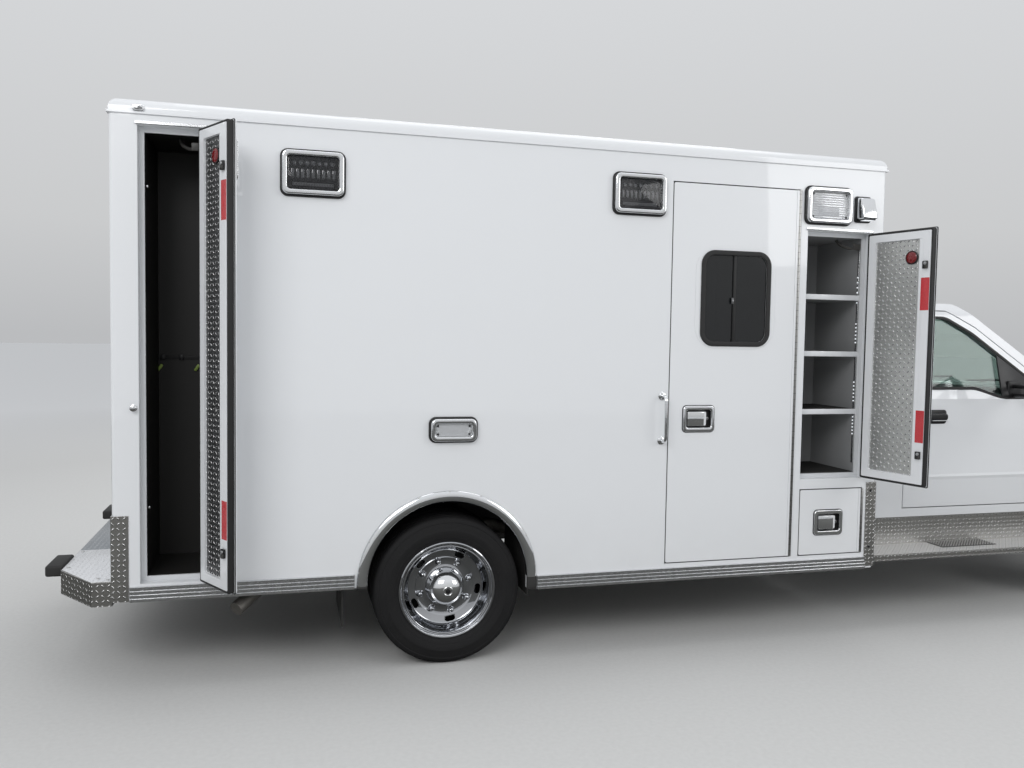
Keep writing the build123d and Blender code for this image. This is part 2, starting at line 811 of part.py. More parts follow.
def cab_form(inset):
    """The cab's outer form, drawn in by inset on every side."""
    with BuildPart() as form:
        with BuildSketch(Plane.XZ) as side_view:
            with BuildLine():
                Polyline(*placed(cab_side_outline), close=True)
            make_face()
            fillet(side_view.vertices().sort_by(Axis.Y)[-4:], radius=cab_round)
            offset(amount=-inset)
        extrude(amount=2 * cab_half, both=True)
        with BuildSketch(Plane.YZ) as front_view:
            with BuildLine():
                right = [(-y, z) for y, z in cab_front_outline]
                left = [(y, z) for y, z in reversed(cab_front_outline)]
                Polyline(*(right + left), close=True)
            make_face()
            fillet(front_view.vertices().sort_by(Axis.Y)[-6:], radius=cab_round)
            offset(amount=-inset)
        extrude(amount=3 * wheelbase, both=True, mode=Mode.INTERSECT)
    return form.part


door_outline = (
    (door_back_x, 720), (door_back_x, 1900), (door_back_x + 60, 2010), (door_back_x + 410, 2010),
    (door_front_x - 470, 1905),
    (door_front_x, 1568), (door_front_x, 720),
)
window_outline = (
    (door_back_x + 90, 1503), (door_back_x + 90, 1890), (door_back_x + 130, 1962),
    (door_back_x + 390, 1962), (door_front_x - 505, 1862), (door_front_x - 85, 1560),
    (door_front_x - 85, 1440), (door_front_x - 330, 1440), (door_front_x - 530, 1503),
)
glass_thickness = 8
door_inner_half = 750


with BuildPart() as cab_shell:
    add(cab_form(0))
    add(cab_form(cab_panel), mode=Mode.SUBTRACT)
    with BuildSketch(Plane.XY.offset(cab_floor_z - 50)):
        with Locations((station((cab_back + cowl_x) / 2), 0)):
            Rectangle(cowl_x - cab_back - 2 * cab_panel, 2 * (cab_half - cab_panel))
    extrude(amount=50)
    with BuildSketch(Plane.XY.offset(cab_bottom - 10)):
        with Locations((station((cab_back + cowl_x) / 2), 0)):
            Rectangle(cowl_x - cab_back + 20, 2 * (cab_half - 90))
    extrude(amount=cab_floor_z - 50 - cab_bottom + 10, mode=Mode.SUBTRACT)
    for side in (1, -1):
        with BuildSketch(Plane.XZ.offset(side * door_inner_half)):
            with BuildLine():
                Polyline(*placed(door_outline), close=True)
            make_face()
            offset(amount=door_gap, kind=Kind.INTERSECTION)
        extrude(amount=side * cab_half, mode=Mode.SUBTRACT)
        with BuildSketch(Plane.XZ.offset(side * (cab_half - cab_panel))):
            with Locations((station(door_back_x - (door_gap + seat_clearance) / 2), 1180)):
                Rectangle(door_gap - seat_clearance, 60)
        extrude(amount=side * 30)
    with BuildSketch(Plane.YZ.offset(station(cab_back))):
        with Locations((0, 1700)):
            RectangleRounded(1250, 330, 60)
    extrude(amount=200, both=True, mode=Mode.SUBTRACT)
    with BuildSketch(windscreen):
        Trapezoid(screen_width, screen_height, screen_angle)
    extrude(amount=200, both=True, mode=Mode.SUBTRACT)
    with BuildSketch(Plane.XY.offset(cab_bottom)):
        for side in (1, -1):
            with Locations((station((door_front_x + door_gap + cowl_x) / 2 + 10), side * (cab_half - 15))):
                Rectangle(cowl_x - door_front_x - door_gap + 20, 30)
    extrude(amount=1440 - cab_bottom, mode=Mode.SUBTRACT)
cab_shell.part.label = "cab_shell"
export_step(cab_shell.part, "parts/cab_shell.step")

with BuildPart() as cab_glass:
    add(cab_form(15))
    add(cab_form(15 + glass_thickness), mode=Mode.SUBTRACT)
    with BuildSketch(windscreen):
        Trapezoid(screen_width - 1, screen_height - 1, screen_angle)
    extrude(amount=200, both=True, mode=Mode.INTERSECT)
with BuildPart() as back_glass:
    add(cab_form(15))
    add(cab_form(15 + glass_thickness), mode=Mode.SUBTRACT)
    with BuildSketch(Plane.YZ.offset(station(cab_back))):
        with Locations((0, 1700)):
            RectangleRounded(1250 - 2 * seat_clearance, 330 - 2 * seat_clearance, 60 - seat_clearance)
    extrude(amount=200, both=True, mode=Mode.INTERSECT)
with BuildPart() as cab_panes:
    add(cab_glass.part)
    add(back_glass.part)
cab_panes.part.label = "cab_panes"
export_step(cab_panes.part, "parts/cab_panes.step")


# Cab doors and their windows, cut from the same form; the hinge line lies at the front edge

cab_door_thickness = 60
cab_handle_out = 26

for name, side in (("right", 1), ("left", -1)):
    with BuildPart() as cab_door:
        add(cab_form(0))
        add(cab_form(cab_door_thickness), mode=Mode.SUBTRACT)
        with BuildSketch(Plane.XZ.offset(side * door_inner_half)):
            with BuildLine():
                Polyline(*placed(door_outline), close=True)
            make_face()
        extrude(amount=side * cab_half, mode=Mode.INTERSECT)
        with BuildSketch(Plane.XZ.offset(side * door_inner_half)):
            with BuildLine():
                Polyline(*placed(window_outline), close=True)
            make_face()
        extrude(amount=side * cab_half, mode=Mode.SUBTRACT)
        with BuildSketch(Plane.XZ.offset(side * (cab_half - 10))):
            with Locations((station(door_back_x + 252), 1311)):
                RectangleRounded(150, 46, 18)
        extrude(amount=side * (10 + cab_handle_out))
    cab_door.part.label = "cab_door_" + name
    export_step(cab_door.part, "parts/cab_door_" + name + ".step")
    with BuildPart() as cab_window:
        add(cab_form(15))
        add(cab_form(15 + glass_thickness), mode=Mode.SUBTRACT)
        with BuildSketch(Plane.XZ.offset(side * door_inner_half)):
            with BuildLine():
                Polyline(*placed(window_outline), close=True)
            make_face()
            offset(amount=-seat_clearance)
        extrude(amount=side * cab_half, mode=Mode.INTERSECT)
    cab_window.part.label = "cab_window_" + name
    export_step(cab_window.part, "parts/cab_window_" + name + ".step")


# Mirrors: a tall head on two arms from the front of each door

mirror_x = cab_back + 1050
mirror_inner = cab_half + 302
mirror_width = 250
mirror_outer = mirror_inner + mirror_width

for name, side in (("right", -1), ("left", 1)):
    with BuildPart() as door_mirror:
        with BuildSketch(Plane.YZ.offset(station(mirror_x))):
            with Locations((side * (mirror_inner + mirror_outer) / 2, 1560)):
                RectangleRounded(mirror_width, 400, mirror_width / 5)
        extrude(amount=110, taper=12)
        with BuildSketch(Plane.XZ.offset(-side * (cab_half + seat_clearance))):
            with Locations((station(mirror_x + 110), 1380)):
                RectangleRounded(180, 110, 20)
        extrude(amount=-side * 24)
        with BuildSketch(Plane.XZ.offset(-side * (cab_half + 20))):
            with Locations((station(mirror_x + 60), 1400), (station(mirror_x + 60), 1360)):
                Rectangle(50, 24)
        extrude(amount=-side * (mirror_inner + 40 - cab_half))
        with BuildSketch(Plane.XZ.offset(-side * (mirror_inner + 10))):
            with Locations((station(mirror_x + 60), 1385)):
                Rectangle(50, 74)
        extrude(amount=-side * 60)
    door_mirror.part.label = "mirror_" + name
    export_step(door_mirror.part, "parts/mirror_" + name + ".step")


# Front end: one form from side, front and plan outlines, split into fenders, hood and lamps
# Side and plan columns start with the station ahead of the rear axle

nose_side_outline = (
    (door_front_x + door_gap, cab_bottom), (door_front_x + door_gap, 1436), (cowl_x + 10, 1436),
    (cowl_x + 50, 1462), (nose_x - 490, 1400), (nose_x - 130, 1320), (nose_x - 20, 1240), (nose_x, 1150),
    (nose_x, 760),
    (nose_x - 130, 740), (nose_x - 190, cab_bottom),
)
nose_front_outline = ((cab_half, cab_bottom), (cab_half, 1340), (985, 1400), (900, 1440), (500, 1466))
nose_plan_outline = (
    (door_front_x + door_gap, cab_half), (nose_x - 340, cab_half), (nose_x - 130, 970), (nose_x - 40, 870),
    (nose_x, 700),
)


def nose_form(inset):
    """The front end's outer form, drawn in by inset on every side."""
    with BuildPart() as form:
        with BuildSketch(Plane.XZ) as side_view:
            with BuildLine():
                Polyline(*placed(nose_side_outline), close=True)
            make_face()
            fillet(side_view.vertices().sort_by(Axis.X)[-5:], radius=nose_round)
            offset(amount=-inset)
        extrude(amount=2 * cab_half, both=True)
        with BuildSketch(Plane.YZ) as front_view:
            with BuildLine():
                right = [(-y, z) for y, z in nose_front_outline]
                left = [(y, z) for y, z in reversed(nose_front_outline)]
                Polyline(*(right + left), close=True)
            make_face()
            fillet(front_view.vertices().sort_by(Axis.Y)[2:-2], radius=nose_round)
            offset(amount=-inset)
        extrude(amount=3 * wheelbase, both=True, mode=Mode.INTERSECT)
        with BuildSketch(Plane.XY) as plan:
            with BuildLine():
                left = placed(nose_plan_outline)
                right = [(x, -y) for x, y in reversed(left)]
                Polyline(*(left + right), close=True)
            make_face()
            fillet(plan.vertices().sort_by(Axis.X)[2:], radius=nose_round)
            offset(amount=-inset)
        extrude(amount=3 * gutter_z, both=True, mode=Mode.INTERSECT)
    return form.part


with BuildPart() as nose_shell:
    add(nose_form(0))
    add(nose_form(nose_panel), mode=Mode.SUBTRACT)

hood_half = 860
hood_back = cowl_x + 54
hood_front = nose_x - 86
fender_arch = 480
grille_half = 600
grille_low = 840
grille_high = 1150
headlamp_inner = 630
headlamp_back = nose_x - 240
headlamp_low = 950

with BuildPart() as fenders:
    add(nose_shell.part)
    with BuildSketch(Plane.XY.offset(cab_bottom - 10)):
        with Locations((station((door_front_x + cowl_x + 10) / 2), 0)):
            Rectangle(cowl_x + 10 - door_front_x, 2 * (cab_half - nose_panel))
        with Locations((station((cowl_x + nose_x - 130) / 2), 0)):
            Rectangle(nose_x - 130 - cowl_x, 2 * (cab_half - nose_panel))
    extrude(amount=60, mode=Mode.SUBTRACT)
    with BuildSketch(Plane.XY.offset(cab_bottom)):
        with Locations((station((door_front_x + cowl_x + 10) / 2), 0)):
            Rectangle(cowl_x + 10 - door_front_x, 2 * (cab_half - nose_panel))
    extrude(amount=cab_half, mode=Mode.SUBTRACT)
    with BuildSketch(Plane.XZ):
        with Locations((front_axle_x, 425)):
            Circle(fender_arch)
    extrude(amount=2 * cab_half, both=True, mode=Mode.SUBTRACT)
    with BuildSketch(Plane.XY.offset(1190)):
        with Locations((station((hood_back + hood_front) / 2), 0)):
            Rectangle(hood_front - hood_back + 2 * door_gap, 2 * (hood_half + door_gap))
    extrude(amount=400, mode=Mode.SUBTRACT)
    with BuildSketch(Plane.YZ.offset(station(headlamp_back))):
        with Locations((0, (grille_low + grille_high) / 2)):
            Rectangle(2 * grille_half, grille_high - grille_low)
        for side in (1, -1):
            with Locations((side * (headlamp_inner + cab_half) / 2, (headlamp_low + grille_high) / 2)):
                Rectangle(cab_half - headlamp_inner, grille_high - headlamp_low)
        with Locations((0, 700)):
            Rectangle(2 * cab_half, 90)
        with Locations((0, rail_top - 50)):
            Rectangle(2 * (rail_y + rail_width), 120)
    extrude(amount=400, mode=Mode.SUBTRACT)
fenders.part.label = "fenders"
export_step(fenders.part, "parts/fenders.step")

with BuildPart() as hood:
    add(nose_shell.part)
    with BuildSketch(Plane.XY.offset(1190)):
        with Locations((station((hood_back + hood_front) / 2), 0)):
            Rectangle(hood_front - hood_back, 2 * hood_half)
    extrude(amount=400, mode=Mode.INTERSECT)
hood.part.label = "hood"
export_step(hood.part, "parts/hood.step")


# Radiator on the rails, with the two posts that the hood rests on, filed with the engine

radiator_x = nose_x - 190

with BuildPart() as radiator:
    with BuildSketch(Plane.XY.offset(rail_top)):
        with Locations((station(radiator_x), 0)):
            Rectangle(90, 2 * rail_y + rail_width)
    extrude(amount=370)
    with BuildSketch(Plane.XY.offset(rail_top + 370)):
        with Locations((station(radiator_x), 350), (station(radiator_x), -350)):
            Circle(20)
    extrude(amount=300)
    add(nose_form(nose_panel + seat_clearance), mode=Mode.INTERSECT)
with BuildPart() as power_unit:
    add(engine.part)
    add(radiator.part)
power_unit.part.label = "engine"
export_step(power_unit.part, "parts/engine.step")


# Grille: a frame with bars across it

with BuildPart() as grille:
    with BuildSketch(Plane.YZ.offset(station(nose_x - nose_panel))):
        with Locations((0, (grille_low + grille_high) / 2)):
            Rectangle(2 * (grille_half - seat_clearance), grille_high - grille_low - 2 * seat_clearance)
            Rectangle(2 * grille_half - 70, grille_high - grille_low - 70, mode=Mode.SUBTRACT)
            with GridLocations(0, 70, 1, 4):
                Rectangle(2 * grille_half - 40, 26)
            with GridLocations(400, 0, 2, 1):
                Rectangle(30, grille_high - grille_low - 40)
    extrude(amount=nose_panel + 6)
grille.part.label = "grille"
export_step(grille.part, "parts/grille.step")


# Lenses: one in each lamp bezel, and the two headlamps

with BuildPart() as lamp_lenses:
    for wall_name, along, height, width, tall in lamps:
        with BuildSketch(lamp_walls[wall_name]):
            with Locations((along, height)):
                play = 2 * (bezel_frame + seat_clearance)
                RectangleRounded(width - play, tall - play, 15)
        extrude(amount=bezel_out - 8)
    mirror(about=Plane.XZ)
with BuildPart() as headlamps:
    add(nose_shell.part)
    with BuildSketch(Plane.YZ.offset(station(headlamp_back + seat_clearance))):
        for side in (1, -1):
            with Locations((side * (headlamp_inner + cab_half) / 2, (headlamp_low + grille_high) / 2)):
                Rectangle(
                    cab_half - headlamp_inner - 2 * seat_clearance,
                    grille_high - headlamp_low - 2 * seat_clearance,
                )
    extrude(amount=400, mode=Mode.INTERSECT)
with BuildPart() as lenses:
    add(lamp_lenses.part)
    add(headlamps.part)
lenses.part.label = "lenses"
export_step(lenses.part, "parts/lenses.step")


# Front bumper, seated on the ends of the rails

with BuildPart() as front_bumper:
    with BuildSketch(Plane.XY.offset(500)):
        with BuildLine():
            front_arc = ThreePointArc(
                (station(rail_front + 60), -1000), (station(bumper_front), 0), (station(rail_front + 60), 1000)
            )
            Polyline(front_arc @ 1, (station(rail_front), 1000), (station(rail_front), -1000), front_arc @ 0)
        make_face()
    extrude(amount=220)
    fillet(front_bumper.faces().sort_by(Axis.Z)[-1].edges().sort_by(Axis.X)[-1], radius=30)
front_bumper.part.label = "front_bumper"
export_step(front_bumper.part, "parts/front_bumper.step")


# Running boards under the cab doors: kick plate, tread and lip

board_back = box_front + 27
board_front = cowl_x - 45
board_lip = 40
board_plate = 6
kick_half = 962

with BuildPart() as running_boards:
    with BuildSketch(Plane.YZ.offset(station(board_back))):
        with BuildLine():
            Polyline(
                (-kick_half + board_plate, cab_bottom), (-kick_half, cab_bottom), (-kick_half, board_z),
                (-board_half, board_z), (-board_half, board_z - board_lip),
                (-board_half + board_plate, board_z - board_lip),
                (-board_half + board_plate, board_z - board_plate),
                (-kick_half + board_plate, board_z - board_plate),
                close=True,
            )
        make_face()
    extrude(amount=board_front - board_back)
    mirror(about=Plane.XZ)
running_boards.part.label = "running_boards"
export_step(running_boards.part, "parts/running_boards.step")


# Cab seats on their pedestals

seat_y = 420
seat_back_x = cab_back + 330

with BuildPart() as cab_seats:
    for side in (1, -1):
        with BuildSketch(Plane.XY.offset(cab_floor_z)):
            with Locations((station(seat_back_x + 300), side * seat_y)):
                RectangleRounded(420, 400, 30)
        extrude(amount=200)
        with BuildSketch(Plane.XY.offset(cab_floor_z + 200)):
            with Locations((station(seat_back_x + 300), side * seat_y)):
                RectangleRounded(540, 520, 60)
        extrude(amount=160)
        with BuildSketch(Plane.XZ.offset(side * seat_y + 250)):
            with BuildLine():
                Polyline(
                    (station(seat_back_x + 60), 1200), (station(seat_back_x + 200), 1200),
                    (station(seat_back_x + 60), 1740), (station(seat_back_x - 60), 1740),
                    close=True,
                )
            make_face()
        extrude(amount=-500)
        with BuildSketch(Plane.XZ.offset(side * seat_y + 120)):
            with Locations((station(seat_back_x - 10), 1820)):
                RectangleRounded(100, 180, 30)
        extrude(amount=-240)
cab_seats.part.label = "cab_seats"
export_step(cab_seats.part, "parts/cab_seats.step")


# Dashboard with the steering column and wheel

wheel_plane = Plane(origin=(station(cowl_x - 610), seat_y, 1420), x_dir=(0, 1, 0), z_dir=(-0.87, 0, 0.5))

with BuildPart() as dashboard:
    with BuildSketch(Plane.XZ.offset(-930)):
        with BuildLine():
            Polyline(
                *placed((
                    (cowl_x - cab_panel, 1130), (cowl_x - 370, 1130), (cowl_x - 450, 1300),
                    (cowl_x - 420, 1400), (cowl_x - 310, 1440), (cowl_x - 130, 1400),
                    (cowl_x - cab_panel, 1370),
                )),
                close=True,
            )
        make_face()
    extrude(amount=1860)
    with BuildSketch(wheel_plane):
        Circle(30)
    extrude(amount=-260)
    with BuildSketch(wheel_plane):
        Circle(195)
        Circle(168, mode=Mode.SUBTRACT)
        with PolarLocations(0, 3, start_angle=-90):
            with Locations((95, 0)):
                Rectangle(160, 34)
        Circle(60)
    extrude(amount=12, both=True)
dashboard.part.label = "dashboard"
export_step(dashboard.part, "parts/dashboard.step")


# Fittings of the patient room: bench, attendant's seat and the wall cabinets

bench_back = -1150
bench_front = box_front - 1625
bench_half = 640
bench_top = 1290
chair_x = box_front - 925

with BuildPart() as patient_seats:
    with BuildSketch(Plane.YZ.offset(station(bench_back))):
        with Locations((-(inner_half + bench_half) / 2, (floor_top + bench_top) / 2)):
            Rectangle(inner_half - bench_half, bench_top - floor_top)
            with Locations((-20, -20)):
                Rectangle(inner_half - bench_half, bench_top - floor_top, mode=Mode.SUBTRACT)
    extrude(amount=bench_front - bench_back)
    with BuildSketch(Plane.XY.offset(bench_top)):
        with Locations((station((bench_back + bench_front) / 2), -(inner_half + bench_half) / 2)):
            RectangleRounded(bench_front - bench_back, inner_half - bench_half, 40)
    extrude(amount=70)
    with BuildSketch(Plane.XY.offset(floor_top)):
        with Locations((station(chair_x), 250)):
            Circle(120)
    extrude(amount=380)
    with BuildSketch(Plane.XY.offset(floor_top + 380)):
        with Locations((station(chair_x), 250)):
            RectangleRounded(500, 500, 60)
    extrude(amount=120)
    with BuildSketch(Plane.XY.offset(floor_top + 500)):
        with Locations((station(chair_x + 200), 250)):
            RectangleRounded(100, 480, 40)
    extrude(amount=650)

cabinet_back = -1560
cabinet_front = box_front - 625
cabinet_depth = 380
cabinet_bottom = gutter_z - 768

with BuildPart() as wall_cabinets:
    with BuildSketch(Plane.XY.offset(cabinet_bottom)):
        with Locations((station((cabinet_back + cabinet_front) / 2), inner_half - cabinet_depth / 2)):
            Rectangle(cabinet_front - cabinet_back, cabinet_depth)
    extrude(amount=gutter_z - cabinet_bottom)
    with BuildSketch(Plane.XY.offset(floor_top)):
        with Locations((station(-150), (inner_half - 20 + bench_half) / 2)):
            Rectangle(1150, inner_half - 20 - bench_half)
    extrude(amount=650)
    with BuildSketch(Plane.XY.offset(floor_top)):
        with Locations((rear_axle_x, inner_half - 240)):
            Rectangle(2 * arch_radius + 40, 500)
    extrude(amount=100, mode=Mode.SUBTRACT)
with BuildPart() as room_fittings:
    add(patient_seats.part)
    add(wall_cabinets.part)
room_fittings.part.label = "room_fittings"
export_step(room_fittings.part, "parts/room_fittings.step")


# Wheels. A wheel's section lies on a plane through its axle: x is outward along it, y is up.

def axle_section(x, y, outward):
    """The section plane of a wheel whose middle is at x and y."""
    return Plane(origin=(x, y, tyre_radius), x_dir=(0, outward, 0), z_dir=(outward, 0, 0))


def axle_line(x):
    """The axis that a wheel at x turns about."""
    return Axis((x, 0, tyre_radius), (0, 1, 0))


widest_radius = 322
shoulder_radius = 380


def tyre_ring(x, ys, outward):
    """Tyres round one axle line, one at each y."""
    half = tyre_width / 2
    bead = rim_width / 2
    bore = bead_radius + seat_clearance
    left = [
        (-bead, bore), (-bead, flange_radius + 5), (-half, widest_radius),
        (-half + 12, shoulder_radius), (-half + 34, tyre_radius),
    ]
    right = [(-across, radius) for across, radius in reversed(left)]
    with BuildPart() as ring:
        for y in ys:
            with BuildSketch(axle_section(x, y, outward)):
                with BuildLine():
                    Polyline(*(left + right), close=True)
                make_face()
            revolve(axis=axle_line(x))
    return ring


barrel_outline = (
    (-91, 262), (-83, 262), (-83, 247), (83, 247), (83, 262), (91, 262), (91, 250), (84, 238), (-84, 238),
    (-91, 250),
)
rear_disc_outline = (
    (-46, 240), (-34, 240), (-30, 200), (-34, 108), (60, 104), (80, 60), (86, 24), (86, 0), (-84, 0),
    (-84, 190),
)
front_disc_outline = (
    (38, 240), (50, 240), (72, 190), (72, 120), (84, 100), (126, 84), (138, 40), (140, 0), (58, 0), (58, 190),
)
twin_disc_outline = ((-179, 90), (-167, 90), (-167, 190), (-190, 240), (-205, 240), (-179, 190))
hub_radius = 95
lug_circle = 141
lug_count = 8
hand_hole_circle = 187
hand_hole_count = 5


def wheel_metal(x, y, outward, outlines, face, holes_from):
    """A wheel's rim and disc, with hand holes and lug nuts; face is the disc's outer face."""
    across = Plane(origin=(x, y, tyre_radius), x_dir=(1, 0, 0), z_dir=(0, outward, 0))
    with BuildPart() as metal:
        for outline in outlines:
            with BuildSketch(axle_section(x, y, outward)):
                with BuildLine():
                    Polyline(*outline, close=True)
                make_face()
            revolve(axis=axle_line(x))
        with BuildSketch(across.offset(holes_from)):
            with PolarLocations(hand_hole_circle, hand_hole_count, start_angle=-8):
                SlotOverall(58, 30, rotation=90)
        extrude(amount=70, mode=Mode.SUBTRACT)
        with BuildSketch(across.offset(face - 4)):
            with PolarLocations(lug_circle, lug_count, start_angle=15):
                RegularPolygon(16, 6)
        extrude(amount=24)
    return metal


front_wheel_y = front_track / 2
rear_hub_outline = (
    (-355 + seat_clearance, 0), (-355 + seat_clearance, hub_radius), (-80, hub_radius), (-80, 0),
)
inner_barrel = tuple((a - dual_spacing, r) for a, r in barrel_outline)

for name, outward in (("right", -1), ("left", 1)):
    front_tyre = tyre_ring(front_axle_x, [outward * front_wheel_y], outward)
    front_tyre.part.label = "front_tyre_" + name
    export_step(front_tyre.part, "parts/front_tyre_" + name + ".step")
    front_rim = wheel_metal(
        front_axle_x, outward * front_wheel_y, outward, (barrel_outline, front_disc_outline), 72, 45,
    )
    front_rim.part.label = "front_rim_" + name
    export_step(front_rim.part, "parts/front_rim_" + name + ".step")
    rear_tyres = tyre_ring(
        rear_axle_x, [outward * outer_tyre_y, outward * (outer_tyre_y - dual_spacing)], outward
    )
    rear_tyres.part.label = "rear_tyres_" + name
    export_step(rear_tyres.part, "parts/rear_tyres_" + name + ".step")
    rear_rims = wheel_metal(
        rear_axle_x, outward * outer_tyre_y, outward,
        (barrel_outline, rear_disc_outline, inner_barrel, twin_disc_outline, rear_hub_outline), -34, -95,
    )
    rear_rims.part.label = "rear_rims_" + name
    export_step(rear_rims.part, "parts/rear_rims_" + name + ".step")
    with BuildPart() as knuckle:
        with BuildSketch(Plane.XY.offset(tyre_radius - kingpin_boss_height / 2)):
            with Locations((front_axle_x, outward * kingpin_y)):
                Circle(kingpin_boss_radius)
        extrude(amount=kingpin_boss_height)
        with BuildSketch(Plane.XZ.offset(-outward * kingpin_y)):
            with Locations((front_axle_x, tyre_radius)):
                Circle(38)
        extrude(amount=-outward * (front_wheel_y + 58 - seat_clearance - kingpin_y))
    knuckle.part.label = "knuckle_" + name
    export_step(knuckle.part, "parts/knuckle_" + name + ".step")
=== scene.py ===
# %% [markdown]
# # A box-bodied ambulance, dressed in Blender
# The solid parts come ready-made, at their real size and place. This lesson gives each surface its
# finish, and makes the pieces whose beauty lies in small forms: lamps, latches, hinges, wheels.

# %% Load the frame
import math

import bmesh
import bpy
from mathutils import Matrix, Vector


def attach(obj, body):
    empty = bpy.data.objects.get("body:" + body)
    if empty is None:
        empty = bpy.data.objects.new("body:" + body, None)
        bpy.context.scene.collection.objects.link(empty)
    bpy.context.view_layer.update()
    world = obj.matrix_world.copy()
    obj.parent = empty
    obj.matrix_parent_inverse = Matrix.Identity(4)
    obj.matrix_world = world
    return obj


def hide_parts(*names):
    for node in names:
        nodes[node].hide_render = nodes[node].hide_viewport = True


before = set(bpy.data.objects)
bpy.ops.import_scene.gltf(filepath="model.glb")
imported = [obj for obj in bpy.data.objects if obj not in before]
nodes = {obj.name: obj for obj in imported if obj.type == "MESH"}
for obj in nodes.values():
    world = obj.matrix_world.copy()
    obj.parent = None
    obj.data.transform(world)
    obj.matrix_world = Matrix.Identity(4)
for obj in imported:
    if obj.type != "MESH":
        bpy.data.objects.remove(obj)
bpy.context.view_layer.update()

# %% [markdown]
# ## Where things are
# A maker measures a truck from its axles. Every place along the vehicle is given here as a distance
# ahead of the rear axle, in metres, and heights are above the ground.

# %% Driving sizes
REAR_AXLE = -1.906
WHEELBASE = 4.902
BODY_HALF = 1.2065
BODY_REAR = -1.675
BODY_FRONT = 2.675
WHEEL_CENTRE = 0.405
INNER_HALF = 1.1565
FLOOR_TOP = 0.850
CAB_CREASE = 0.916
DOOR_THICK = 0.044
HINGE_OUT = 0.005
DOOR_GAP = 0.006
PAN_FRAME = 0.058
PAN_DEPTH = 0.012


def station(ahead):
    """The x of a point given by its distance ahead of the rear axle."""
    return REAR_AXLE + ahead


print("the box runs from", station(BODY_REAR), "to", station(BODY_FRONT))

# %% [markdown]
# ## The camera
# The camera stands where the photographer stood. Its place was solved from the wheel's known size and
# the straight edges of the body, so the picture's frame matches the photograph's.

# %% Camera
def in_scene(name, data):
    """A new object, put into the scene."""
    made = bpy.data.objects.new(name, data)
    bpy.context.scene.collection.objects.link(made)
    return made


eye = Vector((-2.767, -5.675, 1.773))
yaw, pitch, roll = (math.radians(angle) for angle in (15.0, -2.96, 0.90))
ahead = Vector((math.sin(yaw) * math.cos(pitch), math.cos(yaw) * math.cos(pitch), math.sin(pitch)))
level_right = Vector((math.cos(yaw), -math.sin(yaw), 0))
level_up = level_right.cross(ahead)
image_right = level_right * math.cos(roll) + level_up * math.sin(roll)
image_up = level_up * math.cos(roll) - level_right * math.sin(roll)

camera_data = bpy.data.cameras.new("camera")
camera_data.lens = 29.91
camera_data.sensor_width = 36.0
camera = in_scene("camera", camera_data)
turned_view = Matrix((image_right, image_up, -ahead)).transposed()
camera.matrix_world = Matrix.Translation(eye) @ turned_view.to_4x4()
bpy.context.scene.camera = camera
bpy.context.scene.view_settings.view_transform = "Standard"
print("camera at", tuple(eye))

# %% [markdown]
# ## Shader maths as Python
# A shader is a small network of nodes. Wrapping a socket in a class that understands + - * and /
# lets a pattern be written as the formula that it is, and each operation adds its Math node.


# %% Signal
def arithmetic(operation, swapped=False):
    """A method that joins a signal and another value by a Math node."""

    def method(self, other):
        first, second = (other, self) if swapped else (self, other)
        return self.maths(operation, first, second)

    return method


class Signal:
    """One output of a shader node; arithmetic on it adds Math nodes."""

    def __init__(self, finish, socket):
        self.finish = finish
        self.socket = socket

    def maths(self, operation, *values, clamp=False):
        return self.finish.maths(operation, *values, clamp=clamp)

    __add__ = arithmetic("ADD")
    __radd__ = arithmetic("ADD", swapped=True)
    __sub__ = arithmetic("SUBTRACT")
    __rsub__ = arithmetic("SUBTRACT", swapped=True)
    __mul__ = arithmetic("MULTIPLY")
    __rmul__ = arithmetic("MULTIPLY", swapped=True)
    __truediv__ = arithmetic("DIVIDE")
    __mod__ = arithmetic("FLOORED_MODULO")
    above = arithmetic("GREATER_THAN")

    def __abs__(self):
        return self.maths("ABSOLUTE", self)

    def floor(self):
        return self.maths("FLOOR", self)

    def clipped(self):
        return self.maths("ADD", self, 0.0, clamp=True)


print("signals ready")


